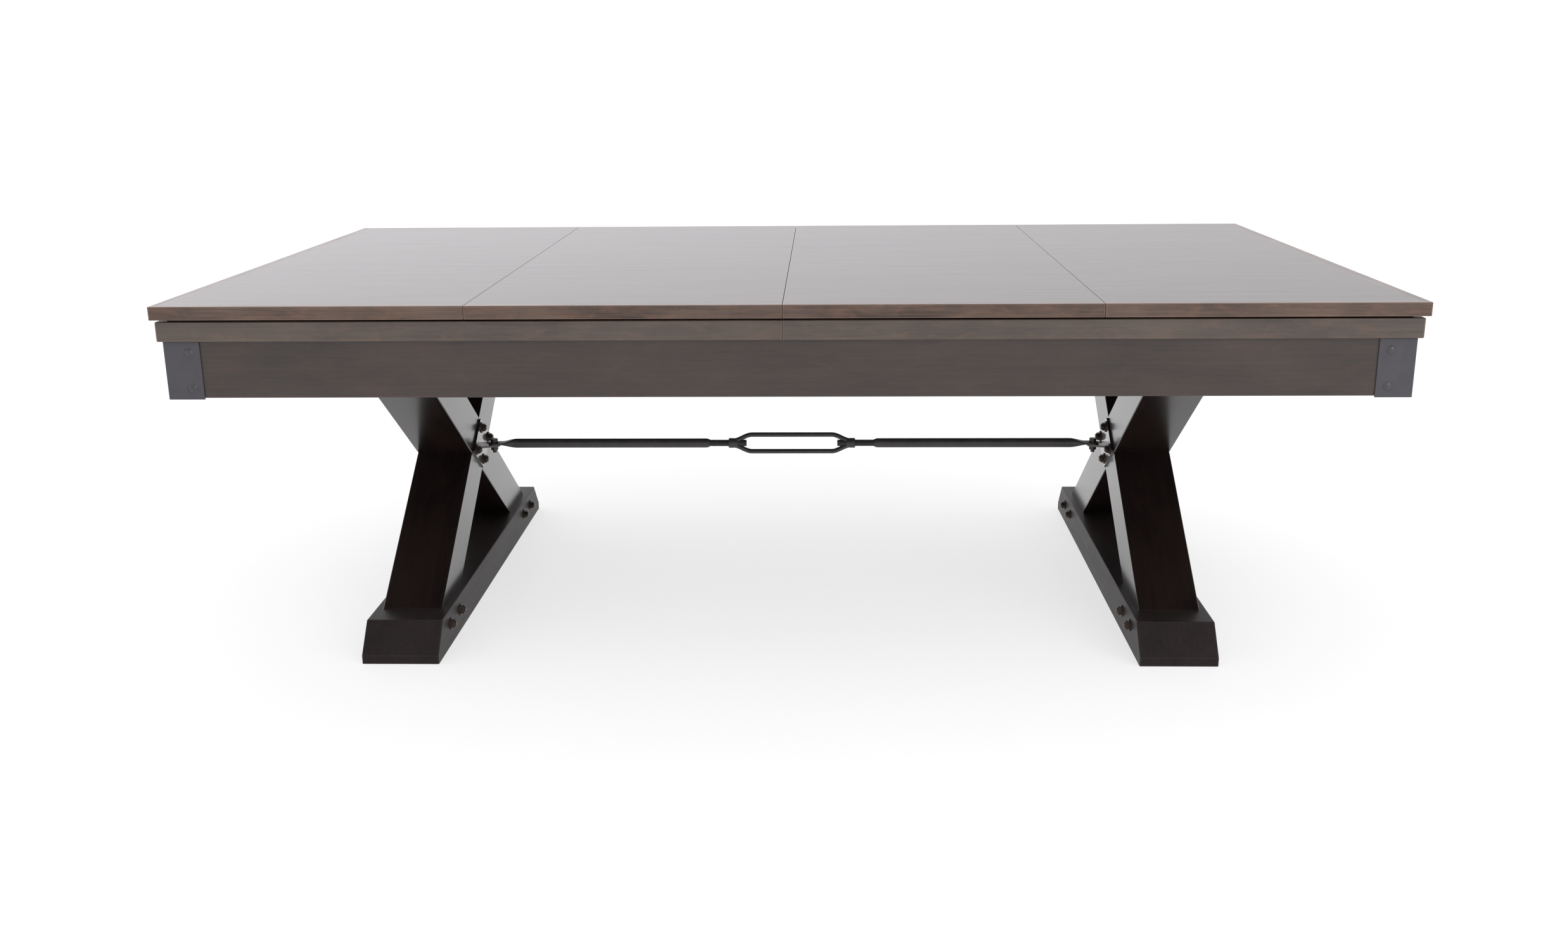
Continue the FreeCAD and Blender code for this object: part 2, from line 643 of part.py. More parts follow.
def bent_bar(points, r, bend):
    """Round bar along straight runs joined by tangent arcs."""
    edges = []
    at = points[0]
    for before, corner, after in zip(points, points[1:], points[2:]):
        back = (before - corner).normalize()
        ahead = (after - corner).normalize()
        turn = math.pi - back.getAngle(ahead)
        run = bend * math.tan(turn / 2.0)
        first = corner + back * run
        last = corner + ahead * run
        inward = (back + ahead).normalize()
        middle = corner + inward * (bend / math.cos(turn / 2.0) - bend)
        edges.append(Part.makeLine(at, first))
        edges.append(Part.Arc(first, middle, last).toShape())
        at = last
    edges.append(Part.makeLine(at, points[-1]))
    ring = Part.makeCircle(r, points[0], points[1] - points[0])
    return Part.Wire(edges).makePipeShell([Part.Wire(ring)], True, True)


def build_tie():
    z = CROSS_Z
    flat_z = z - FLAT_T / 2.0
    x_plate = LEG_IN - PLATE_T
    outline = [(0.0, z + PLATE_HALF_Z), (PLATE_HALF_Y, z), (0.0, z - PLATE_HALF_Z),
               (-PLATE_HALF_Y, z)]
    plate = side(outline, x_plate, LEG_IN)
    plate = ease(plate, PLATE_EASE, lambda e: abs(e.BoundBox.XLength - PLATE_T) < 0.01)
    tab = plan([(x_plate + 1.0, -TAB_ROOT_HALF), (x_plate + 1.0, TAB_ROOT_HALF),
                (TAB_BOLT_X, FLAT_HALF), (TAB_BOLT_X, -FLAT_HALF)], flat_z - TAB_T, flat_z)
    tab = tab.fuse(cyl(FLAT_HALF, TAB_T, V(TAB_BOLT_X, 0, flat_z - TAB_T), V(0, 0, 1)))
    plate = plate.fuse(tab).removeSplitter()
    plate = plate.cut(along_x(plate_bolt_seats(), BOLT_HOLE_R, PLATE_T))
    tab_hole = cyl(TAB_HOLE_R, 2.0 * TAB_BOLT_END, V(TAB_BOLT_X, 0, z - TAB_BOLT_END), V(0, 0, 1))
    plate = plate.cut(tab_hole)
    save("tie_plate_right", plate)
    save("tie_plate_left", flip_x(plate))

    swage = TUBE_START + TUBE_SWAGE
    tube = cyl(TUBE_R, TUBE_SQUASH - swage, V(swage, 0, z), V(1, 0, 0))
    tube = tube.fuse(Part.makeCone(ROD_R + 0.8, TUBE_R, TUBE_SWAGE, V(TUBE_START, 0, z), V(1, 0, 0)))
    neck = flattened_neck(TUBE_SQUASH, TUBE_FLAT, z)
    flat = box(TUBE_FLAT, TAB_BOLT_X, -FLAT_HALF, FLAT_HALF, z - FLAT_T / 2.0, z + FLAT_T / 2.0)
    flat = flat.fuse(cyl(FLAT_HALF, FLAT_T, V(TAB_BOLT_X, 0, z - FLAT_T / 2.0), V(0, 0, 1)))
    tube = tube.fuse([neck, flat])
    bore = cyl(ROD_R + 0.1, TUBE_SQUASH - TUBE_START - 10.0, V(TUBE_START - 1.0, 0, z), V(1, 0, 0))
    tube = tube.cut([bore, tab_hole])
    save("tie_tube_right", tube)
    save("tie_tube_left", flip_x(tube))

    rod = cyl(ROD_R, ROD_L, V(ROD_START, 0, z), V(1, 0, 0))
    rod = rod.makeChamfer(ROD_CHAMFER, rod.Edges[0:1] + rod.Edges[2:3])
    save("threaded_end_right", rod)
    save("threaded_end_left", flip_x(rod))

    head_z = z + FLAT_T / 2.0 + TAB_WASHER_T
    nut_z = flat_z - TAB_T - TAB_WASHER_T
    head = hexagon(TAB_BOLT_AF, TAB_HEAD_H, V(TAB_BOLT_X, 0, head_z), V(0, 0, 1))
    end = V(TAB_BOLT_X, 0, z - TAB_BOLT_END)
    bolt = head.fuse(cyl(TAB_BOLT_R, TAB_BOLT_END + head_z - z, end, V(0, 0, 1)))
    nut = hexagon(TAB_BOLT_AF, TAB_NUT_H, V(TAB_BOLT_X, 0, nut_z), V(0, 0, -1))
    nut = nut.cut(cyl(TAB_BOLT_R + 0.1, TAB_BOLT_END, end, V(0, 0, 1)))
    save("tab_bolts", [bolt, flip_x(bolt)])
    save("tab_nuts", [nut, flip_x(nut)])


def build_turnbuckle():
    z = CROSS_Z
    hub = cyl(HUB_R, HUB_L, V(BODY_HALF - HUB_L, 0, z), V(1, 0, 0))
    hub = hub.makeFillet(HUB_EASE, [e for e in hub.Edges if e.Curve.TypeId == "Part::GeomCircle"])
    reach = ARM_OUT - ARM_R
    arm = bent_bar([V(-ROOT_X, 0, z + ROOT_Z), V(-BEND_X, 0, z + reach),
                    V(BEND_X, 0, z + reach), V(ROOT_X, 0, z + ROOT_Z)], ARM_R, BEND_R)
    lower = arm.mirror(V(0, 0, z), V(0, 0, 1))
    body = hub.fuse([flip_x(hub), arm, lower])
    bore = cyl(ROD_R + 0.05, 2.0 * BODY_HALF, V(-BODY_HALF, 0, z), V(1, 0, 0))
    save("turnbuckle_body", body.cut(bore))


build_panels()
build_rails()
build_cushions()
build_sights()
build_pockets()
build_slate()
build_cabinet()
build_slate_frame()
build_rail_bolts()
build_trestles()
build_hex_bolts()
build_tie()
build_turnbuckle()
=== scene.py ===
"""Pool table with a four-piece dining top: looks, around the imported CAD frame."""
import math

import bmesh
import bpy
import numpy as np
from mathutils import Matrix, Vector


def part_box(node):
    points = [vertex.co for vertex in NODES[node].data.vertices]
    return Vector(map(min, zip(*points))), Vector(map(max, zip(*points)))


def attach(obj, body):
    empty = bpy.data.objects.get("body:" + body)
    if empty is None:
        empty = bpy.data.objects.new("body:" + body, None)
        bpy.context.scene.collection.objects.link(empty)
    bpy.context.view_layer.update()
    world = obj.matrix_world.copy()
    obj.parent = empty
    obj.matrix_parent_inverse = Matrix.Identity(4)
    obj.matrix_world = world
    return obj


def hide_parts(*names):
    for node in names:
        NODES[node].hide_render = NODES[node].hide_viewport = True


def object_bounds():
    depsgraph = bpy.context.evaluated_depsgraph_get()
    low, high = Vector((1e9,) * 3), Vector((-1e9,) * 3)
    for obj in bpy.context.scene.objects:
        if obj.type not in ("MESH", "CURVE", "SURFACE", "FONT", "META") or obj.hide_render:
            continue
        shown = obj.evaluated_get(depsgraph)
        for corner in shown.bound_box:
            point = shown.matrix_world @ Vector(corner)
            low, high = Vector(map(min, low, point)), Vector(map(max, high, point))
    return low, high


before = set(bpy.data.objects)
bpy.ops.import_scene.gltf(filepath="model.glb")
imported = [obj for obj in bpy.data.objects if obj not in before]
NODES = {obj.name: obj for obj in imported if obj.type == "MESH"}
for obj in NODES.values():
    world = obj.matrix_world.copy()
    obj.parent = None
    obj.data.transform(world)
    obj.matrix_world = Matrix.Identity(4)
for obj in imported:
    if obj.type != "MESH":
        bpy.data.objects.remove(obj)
cad_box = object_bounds()
MM = 0.001
ROOT = "table"
X, Y, Z = Vector((1, 0, 0)), Vector((0, 1, 0)), Vector((0, 0, 1))

# Camera: place in metres, angles in degrees, lens for a 36 mm wide sensor
CAMERA_AT = (0.0883, -3.6836, 1.3107)
CAMERA_DOWN, CAMERA_LEFT, CAMERA_ROLL = 15.505, 1.698, 0.485
CAMERA_LENS = 33.85

# Studio brightness towards each side
WORLD_FRONT, WORLD_BACK = 0.88, 1.3
WORLD_TINT = (0.985, 0.972, 1.0)
WORLD_BLEND = 0.8
FLOOR_REACH, FLOOR_SIDES = 40.0, 96
FLOOR_GREY, FLOOR_GLOW = 0.36, 0.67
KEY_AT, KEY_AIM, KEY_SIZE, KEY_WATTS = (4.2, -4.2, 3.2), (0.6, 0, 0.6), (5.4, 3.8), 120
WORLD_LEFT, WORLD_RIGHT = 1.22, 0.80

# Trestle timbers lean by this much from the floor
LEG_ANGLE = math.radians(35.8)


# ---------------------------------------------------------------- mesh helpers

def piece(name, verts, faces, material, slot, node=None, body=ROOT):
    """A mesh object that rides on a body and, if node is given, stands for that CAD node."""
    mesh = bpy.data.meshes.new(name)
    mesh.from_pydata([tuple(v) for v in verts], [], [tuple(f) for f in faces])
    mesh.validate()
    obj = bpy.data.objects.new(name, mesh)
    bpy.context.scene.collection.objects.link(obj)
    mesh.materials.append(material)
    tidy_normals(obj)
    for poly in mesh.polygons:
        poly.use_smooth = True
    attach(obj, body)
    if node:
        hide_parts(node)
    return obj


def tidy_normals(obj):
    bm = bmesh.new()
    bm.from_mesh(obj.data)
    bmesh.ops.recalc_face_normals(bm, faces=bm.faces)
    bm.to_mesh(obj.data)
    bm.free()


def modify(obj, kind, **settings):
    mod = obj.modifiers.new(kind.lower(), kind)
    for key, value in settings.items():
        setattr(mod, key, value)
    return mod


def apply_modifiers(obj):
    graph = bpy.context.evaluated_depsgraph_get()
    graph.update()
    done = bpy.data.meshes.new_from_object(obj.evaluated_get(graph))
    obj.modifiers.clear()
    obj.data = done
    return obj


def soften(obj, width, segments=3, angle=35.0):
    """Rounds a piece's sharp edges."""
    modify(obj, "BEVEL", width=width, segments=segments, limit_method="ANGLE",
           angle_limit=math.radians(angle), harden_normals=False)
    return apply_modifiers(obj)


def shade_by_angle(obj, degrees):
    """Smooth shading, with edges sharper than the angle kept crisp."""
    bm = bmesh.new()
    bm.from_mesh(obj.data)
    limit = math.radians(degrees)
    for face in bm.faces:
        face.smooth = True
    for edge in bm.edges:
        edge.smooth = len(edge.link_faces) == 2 and edge.calc_face_angle(0.0) < limit
    bm.to_mesh(obj.data)
    bm.free()


def rings_to_faces(rows, cols, closed_rows=False, caps=False):
    """Quads over rows of cols points each; every row is a closed ring."""
    faces = []
    last = rows if closed_rows else rows - 1
    for i in range(last):
        for j in range(cols):
            k = (j + 1) % cols
            n = (i + 1) % rows
            faces.append((i * cols + j, i * cols + k, n * cols + k, n * cols + j))
    if caps:
        faces.append(tuple(range(cols))[::-1])
        faces.append(tuple((rows - 1) * cols + j for j in range(cols)))
    return faces


def loose_boxes(node):
    """The boxes of a CAD node's separate solids, worked out from its own mesh."""
    bm = bmesh.new()
    bm.from_mesh(NODES[node].data)
    bmesh.ops.remove_doubles(bm, verts=bm.verts, dist=1e-6)
    bm.verts.ensure_lookup_table()
    seen, boxes = set(), []
    for start in bm.verts:
        if start in seen:
            continue
        todo, found = [start], []
        seen.add(start)
        while todo:
            vert = todo.pop()
            found.append(vert.co.copy())
            for edge in vert.link_edges:
                other = edge.other_vert(vert)
                if other not in seen:
                    seen.add(other)
                    todo.append(other)
        lo = Vector([min(c[i] for c in found) for i in range(3)])
        hi = Vector([max(c[i] for c in found) for i in range(3)])
        boxes.append((lo, hi))
    bm.free()
    return boxes


# ------------------------------------------------------------ material helpers

class Shade:
    """One node material, built with short calls."""

    def __init__(self, name):
        self.mat = bpy.data.materials.new(name)
        self.mat.use_nodes = True
        self.tree = self.mat.node_tree
        self.bsdf = self.tree.nodes["Principled BSDF"]
        self.point = self.node("ShaderNodeTexCoord").outputs["Object"]

    def node(self, kind, values=None, **props):
        made = self.tree.nodes.new(kind)
        for key, value in props.items():
            setattr(made, key, value)
        for key, value in (values or {}).items():
            self.put(made.inputs[key], value)
        return made

    def put(self, socket, value):
        if isinstance(value, bpy.types.NodeSocket):
            self.tree.links.new(value, socket)
        else:
            socket.default_value = value

    def set(self, **values):
        """Sets the shader's own sockets; underscores stand for spaces."""
        for key, value in values.items():
            self.put(self.bsdf.inputs[key.replace("_", " ")], value)

    def math(self, op, a, b=0.0):
        return self.node("ShaderNodeMath", {0: a, 1: b}, operation=op).outputs[0]

    def scale(self, vector, factors):
        made = self.node("ShaderNodeVectorMath", {0: vector, 1: factors}, operation="MULTIPLY")
        return made.outputs[0]

    def noise(self, vector, scale, detail=4.0, rough=0.55, warp=0.0):
        made = self.node("ShaderNodeTexNoise", {"Vector": vector, "Scale": scale, "Detail": detail,
                                                "Roughness": rough, "Distortion": warp})
        return made.outputs["Fac"]

    def ramp(self, fac, stops):
        made = self.node("ShaderNodeValToRGB", {0: fac})
        while len(made.color_ramp.elements) < len(stops):
            made.color_ramp.elements.new(0.5)
        for element, (at, colour) in zip(made.color_ramp.elements, stops):
            element.position = at
            element.color = (*colour, 1.0)
        return made.outputs[0]

    def range(self, value, low, high, to_low, to_high):
        made = self.node("ShaderNodeMapRange", {0: value, 1: low, 2: high, 3: to_low, 4: to_high})
        return made.outputs[0]

    def blend(self, fac, a, b):
        made = self.node("ShaderNodeMix", data_type="RGBA")
        for index, value in ((0, fac), (6, a), (7, b)):
            if isinstance(value, tuple) and len(value) == 3:
                value = (*value, 1.0)
            self.put(made.inputs[index], value)
        return made.outputs[2]

    def bump(self, height, distance, strength=1.0, below=None):
        values = {"Height": height, "Distance": distance, "Strength": strength}
        if below is not None:
            values["Normal"] = below
        return self.node("ShaderNodeBump", values).outputs[0]


# Features of wood per metre: along the grain, across it
BLOTCHES, STREAKS, FINE_LINES = (5.0, 11.0), (4.5, 85.0), (22.0, 620.0)
PATCHES, PORES = (13.0, 34.0), (55.0, 1500.0)
RINGS_ALONG, RINGS_ACROSS = 0.16, 38.0
# Shift of the grain from one object to the next, metres along its three axes
GRAIN_SHIFT = (9.0, 0.7, 0.3)
# Edges painted lighter, partly as rubbed wear and partly as a painted highlight: how far they reach,
# how much lighter they are, and the cosines of the turn at which they begin and are complete
WEAR_AND_HIGHLIGHT_REACH, WEAR_AND_HIGHLIGHT_GAIN = 4 * MM, 2.6
WEAR_AND_HIGHLIGHT_FROM, WEAR_AND_HIGHLIGHT_FULL = 0.995, 0.93
PORE_DEPTH = 0.06 * MM


def grain_space(s, along, across):
    """Coordinates that run along the grain first, offset for each object."""
    third = along.cross(across)
    parts = []
    for axis in (along, across, third):
        dot = s.node("ShaderNodeVectorMath", {0: s.point, 1: tuple(axis)}, operation="DOT_PRODUCT")
        parts.append(dot.outputs["Value"])
    own = s.node("ShaderNodeObjectInfo").outputs["Random"]
    joined = s.node("ShaderNodeCombineXYZ", {0: parts[0], 1: parts[1], 2: parts[2]}).outputs[0]
    shift = {i: s.math("MULTIPLY", own, reach) for i, reach in enumerate(GRAIN_SHIFT)}
    shift = s.node("ShaderNodeCombineXYZ", shift).outputs[0]
    return s.node("ShaderNodeVectorMath", {0: joined, 1: shift}, operation="ADD").outputs[0]


def grain_noise(s, grain, features, detail, rough=0.5, warp=0.0, stretch=1.0):
    """Noise drawn out along the grain; stretch makes it longer and narrower still."""
    along, across = features[0] / stretch, features[1] * stretch
    return s.noise(s.scale(grain, (along, across, across)), 1.0, detail, rough, warp)


def wood(name, dark, light, along, across=Z, rough=0.38, coat=0.35, coat_rough=0.25,
         ior=1.5, figure=0.35, relief=0.6, mottle=0.5, uneven=0.06, stretch=1.0, edge_wear_and_highlight=0.3, mitre=None):
    """Stained wood: blotches, long streaks, fine pores, lighter edges that are part rubbed wear and part
    painted highlight, and a satin lacquer over them.
    mottle is how much warmer stain shows through in patches, uneven how far the gloss varies,
    stretch how drawn out the blotches are, edge_wear_and_highlight how much lighter the edges are
    painted, as rubbed stain and as painted highlight, and mitre the half size (x, y) of a band whose
    grain turns at its corners."""
    s = Shade(name)
    grain = grain_space(s, along, across)
    if mitre:
        turned = grain_space(s, Y, across)
        axes = s.node("ShaderNodeSeparateXYZ", {0: s.point})
        beyond = [s.math("SUBTRACT", s.math("ABSOLUTE", axes.outputs[i]), mitre[i]) for i in (0, 1)]
        on_end = s.math("GREATER_THAN", beyond[0], beyond[1])
        grain = s.node("ShaderNodeMix", {0: on_end, 4: grain, 5: turned}, data_type="VECTOR").outputs[1]
    blotch = grain_noise(s, grain, BLOTCHES, 3.0, 0.5, 0.4, stretch)
    streak = grain_noise(s, grain, STREAKS, 5.0, 0.6, 0.6)
    fine = grain_noise(s, grain, FINE_LINES, 3.0)
    ring_values = {"Vector": s.scale(grain, (RINGS_ALONG, 1.0, 1.0)), "Scale": RINGS_ACROSS,
                   "Distortion": 7.0, "Detail": 3.0, "Detail Scale": 0.6, "Detail Roughness": 0.6}
    rings = s.node("ShaderNodeTexWave", ring_values, wave_type="RINGS", rings_direction="X",
                   wave_profile="SAW").outputs["Fac"]
    tone = s.math("ADD", s.math("MULTIPLY", blotch, 0.5), s.math("MULTIPLY", streak, 0.36))
    tone = s.math("ADD", tone, s.math("MULTIPLY", fine, 0.14))
    tone = s.math("ADD", tone, s.math("MULTIPLY", s.math("SUBTRACT", rings, 0.5), 0.16 * figure))
    mid = tuple((a + b) / 2.0 for a, b in zip(dark, light))
    colour = s.ramp(tone, [(0.33, dark), (0.5, mid), (0.68, light)])
    patches = grain_noise(s, grain, PATCHES, 4.0, 0.6, 0.9, stretch)
    warm = (1.45 * light[0], 1.10 * light[1], 0.92 * light[2])
    colour = s.blend(s.range(patches, 0.48, 0.70, 0.0, mottle), colour, warm)
    pore = s.range(grain_noise(s, grain, PORES, 2.0), 0.60, 0.72, 0.0, 1.0)
    deep = tuple(0.45 * c for c in dark)
    colour = s.blend(s.math("MULTIPLY", pore, 0.45), colour, deep)
    # Edges are painted lighter here: partly stain rubbed off, partly a painted highlight where light
    # would catch the rounded edge
    rounded = s.node("ShaderNodeBevel", {"Radius": WEAR_AND_HIGHLIGHT_REACH}, samples=6).outputs[0]
    flat = s.node("ShaderNodeNewGeometry").outputs["Normal"]
    turned_by = s.node("ShaderNodeVectorMath", {0: rounded, 1: flat}, operation="DOT_PRODUCT")
    edge_wear_and_highlight_mask = s.range(turned_by.outputs["Value"], WEAR_AND_HIGHLIGHT_FROM, WEAR_AND_HIGHLIGHT_FULL, 0.0, edge_wear_and_highlight)
    colour = s.blend(edge_wear_and_highlight_mask, colour, tuple(WEAR_AND_HIGHLIGHT_GAIN * c for c in light))
    s.set(Base_Color=colour, IOR=ior, Coat_Weight=coat, Coat_Roughness=coat_rough, Coat_IOR=ior)
    s.set(Roughness=s.range(streak, 0.3, 0.7, rough - uneven, rough + uneven))
    depth = s.math("SUBTRACT", s.math("MULTIPLY", fine, 0.5), pore)
    s.set(Normal=s.bump(depth, PORE_DEPTH, relief))
    return s.mat


def paint(name, colour, rough, metal=0.0, peel=0.0, peel_scale=900.0, smear=0.25, coat=0.0):
    """Coated or blackened metal: cloudy tone, slight orange peel, uneven gloss."""
    s = Shade(name)
    cloud = s.noise(s.point, 30.0, 4.0, 0.6)
    grit = s.noise(s.point, peel_scale, 2.0, 0.5)
    low = tuple(c * (1.0 - smear) for c in colour)
    high = tuple(c * (1.0 + smear) for c in colour)
    s.set(Base_Color=s.ramp(cloud, [(0.35, low), (0.65, high)]), Metallic=metal, Coat_Weight=coat)
    s.set(Roughness=s.range(cloud, 0.3, 0.7, rough - 0.06, rough + 0.08))
    if peel:
        s.set(Normal=s.bump(grit, peel, 0.7))
    return s.mat


def worsted(name, colour):
    """Billiard cloth: a tight worsted weave under a short nap."""
    s = Shade(name)
    slant = tuple(math.radians(a) for a in (35.0, 25.0, 45.0))
    turn = s.node("ShaderNodeVectorRotate", {"Vector": s.point, "Rotation": slant},
                  rotation_type="EULER_XYZ").outputs[0]
    nap = s.noise(s.scale(s.point, (700.0, 1500.0, 900.0)), 1.0, 3.0, 0.6)
    patch = s.noise(s.point, 9.0, 3.0, 0.5)
    waves = []
    for axis in ("X", "Y"):
        wave = s.node("ShaderNodeTexWave", {"Vector": turn, "Scale": 420.0, "Distortion": 0.6,
                                            "Detail": 1.0}, bands_direction=axis)
        waves.append(wave.outputs["Fac"])
    weave = s.math("MULTIPLY", waves[0], waves[1])
    mixed = s.math("ADD", s.math("MULTIPLY", weave, 0.35), s.math("MULTIPLY", nap, 0.65))
    mixed = s.math("ADD", mixed, s.math("MULTIPLY", s.math("SUBTRACT", patch, 0.5), 0.15))
    low = tuple(0.72 * c for c in colour)
    high = tuple(1.3 * c for c in colour)
    s.set(Base_Color=s.ramp(mixed, [(0.25, low), (0.7, high)]), Roughness=0.92, Sheen_Weight=0.35,
          Sheen_Roughness=0.4, Normal=s.bump(mixed, 0.12 * MM, 0.8))
    return s.mat


def felt(name, colour):
    """Pressed felt: short tangled fibres."""
    s = Shade(name)
    fibres = s.noise(s.scale(s.point, (900.0, 900.0, 400.0)), 1.0, 5.0, 0.7, 1.2)
    low = tuple(0.5 * c for c in colour)
    high = tuple(1.6 * c for c in colour)
    s.set(Base_Color=s.ramp(fibres, [(0.3, low), (0.7, high)]), Roughness=0.95, Sheen_Weight=0.3,
          Normal=s.bump(fibres, 0.4 * MM, 0.8))
    return s.mat


def leather(name, colour):
    """Black pocket leather: pebbled cells with fine creases."""
    s = Shade(name)
    cells = s.node("ShaderNodeTexVoronoi", {"Vector": s.point, "Scale": 620.0},
                   feature="DISTANCE_TO_EDGE").outputs["Distance"]
    pebble = s.range(cells, 0.0, 0.25, 0.0, 1.0)
    creases = s.noise(s.point, 140.0, 4.0, 0.6, 0.5)
    low = tuple(0.6 * c for c in colour)
    high = tuple(1.5 * c for c in colour)
    s.set(Base_Color=s.ramp(creases, [(0.3, low), (0.7, high)]))
    s.set(Roughness=s.range(pebble, 0.0, 1.0, 0.62, 0.42), Coat_Weight=0.15, Coat_Roughness=0.35)
    s.set(Normal=s.bump(creases, 0.4 * MM, 0.4, s.bump(pebble, 0.25 * MM, 0.8)))
    return s.mat


def stone(name):
    """Honed slate with faint cleavage clouds and fine saw marks."""
    s = Shade(name)
    cloud = s.noise(s.scale(s.point, (6.0, 9.0, 40.0)), 1.0, 6.0, 0.65, 0.8)
    grit = s.noise(s.point, 900.0, 3.0, 0.6)
    saw = s.noise(s.scale(s.point, (8.0, 700.0, 700.0)), 1.0, 2.0, 0.5)
    colour = s.ramp(cloud, [(0.3, (0.045, 0.05, 0.055)), (0.7, (0.10, 0.105, 0.11))])
    colour = s.blend(s.math("MULTIPLY", grit, 0.25), colour, (0.16, 0.165, 0.17))
    s.set(Base_Color=colour, Roughness=0.62)
    s.set(Normal=s.bump(s.math("ADD", grit, saw), 0.12 * MM, 0.6))
    return s.mat


def pearl(name):
    """Mother-of-pearl inlay under lacquer."""
    s = Shade(name)
    swirl = s.noise(s.point, 260.0, 3.0, 0.5, 2.5)
    colour = s.ramp(swirl, [(0.3, (0.62, 0.66, 0.60)), (0.5, (0.82, 0.79, 0.74)),
                            (0.7, (0.72, 0.70, 0.80))])
    s.set(Base_Color=colour, Roughness=0.22, Coat_Weight=0.8, Coat_Roughness=0.05)
    return s.mat


HALF_TOP = (cad_box[1].x, cad_box[1].y)
RISE = Vector((0, math.cos(LEG_ANGLE), math.sin(LEG_ANGLE)))
FALL = Vector((0, math.cos(LEG_ANGLE), -math.sin(LEG_ANGLE)))

TOP_DARK, TOP_LIGHT = (0.030, 0.022, 0.020), (0.066, 0.050, 0.044)
EDGE_DARK, EDGE_LIGHT = (0.046, 0.029, 0.0225), (0.142, 0.096, 0.073)
RAIL_DARK, RAIL_LIGHT = (0.040, 0.028, 0.021), (0.094, 0.067, 0.050)
# The aprons use the rails' wood with its colour darkened as painted shade
APRON_SHADED_DARK, APRON_SHADED_LIGHT = (0.023, 0.0150, 0.0120), (0.047, 0.031, 0.0245)
# The legs' colour is the trestle's dark stain, darkened further than the feet's as painted shade
LEG_SHADED_DARK, LEG_SHADED_LIGHT = (0.0045, 0.0026, 0.0022), (0.014, 0.0082, 0.0070)
FOOT_DARK, FOOT_LIGHT = (0.0140, 0.0112, 0.0108), (0.026, 0.0203, 0.0190)
FRAME_DARK, FRAME_LIGHT = (0.020, 0.014, 0.010), (0.050, 0.035, 0.026)

veneer = wood("dining_veneer", TOP_DARK, TOP_LIGHT, X, Y, rough=0.36, coat=0.4, coat_rough=0.12,
              ior=1.35, figure=0.9, relief=0.05, mottle=0.2, uneven=0.02, stretch=2.4)
edging = wood("dining_edging", EDGE_DARK, EDGE_LIGHT, X, Z, rough=0.36, coat=0.3, coat_rough=0.15,
              ior=1.35, relief=0.25, mottle=0.4, mitre=HALF_TOP)
rail_x = wood("rail_along", RAIL_DARK, RAIL_LIGHT, X, relief=0.3, mottle=0.4)
rail_y = wood("rail_across", RAIL_DARK, RAIL_LIGHT, Y, relief=0.3, mottle=0.4)
apron_x = wood("apron_along", APRON_SHADED_DARK, APRON_SHADED_LIGHT, X, relief=0.3, coat=0.15, mottle=0.35)
apron_y = wood("apron_across", APRON_SHADED_DARK, APRON_SHADED_LIGHT, Y, relief=0.3, coat=0.15, mottle=0.35)
leg_looks = {"rough": 0.32, "coat": 0.9, "coat_rough": 0.18, "ior": 1.27, "relief": 0.03,
             "mottle": 0.3, "uneven": 0.01}
leg_rise = wood("leg_rising_wood", LEG_SHADED_DARK, LEG_SHADED_LIGHT, RISE, X, **leg_looks)
leg_fall = wood("leg_falling_wood", LEG_SHADED_DARK, LEG_SHADED_LIGHT, FALL, X, **leg_looks)
# The feet get the lighter edges at full strength: a painted highlight along the bevel and lip edges,
# partly rubbed wear
foot_wood = wood("foot_wood", FOOT_DARK, FOOT_LIGHT, Y, X, rough=0.38, coat=0.0, ior=1.18,
                 relief=0.15, mottle=0.15, uneven=0.03, edge_wear_and_highlight=1.0)
frame_x = wood("frame_wood_along", FRAME_DARK, FRAME_LIGHT, X, rough=0.6, coat=0.0, figure=1.0)
frame_y = wood("frame_wood_across", FRAME_DARK, FRAME_LIGHT, Y, rough=0.6, coat=0.0, figure=1.0)
powder = paint("gunmetal_powder", (0.052, 0.049, 0.057), 0.48, peel=0.12 * MM, smear=0.10)
rivet_paint = paint("gunmetal_rivet", (0.050, 0.047, 0.056), 0.30, peel=0.05 * MM, smear=0.12)
black_oxide = paint("black_oxide", (0.052, 0.036, 0.029), 0.40, metal=0.45, peel=0.04 * MM, smear=0.35)
tie_steel = paint("blackened_tie", (0.046, 0.043, 0.042), 0.46, metal=0.25, peel=0.08 * MM,
                  peel_scale=500.0, smear=0.16)
plate_black = paint("satin_black_plate", (0.014, 0.012, 0.012), 0.34, peel=0.03 * MM, coat=1.0)
zinc = paint("zinc_plate", (0.55, 0.56, 0.57), 0.32, metal=1.0, peel=0.03 * MM, smear=0.12)
cloth = worsted("billiard_cloth", (0.060, 0.066, 0.072))
pad_felt = felt("black_felt", (0.012, 0.012, 0.012))
pocket_leather = leather("pocket_leather", (0.016, 0.013, 0.011))
slate = stone("honed_slate")
inlay = pearl("pearl_inlay")

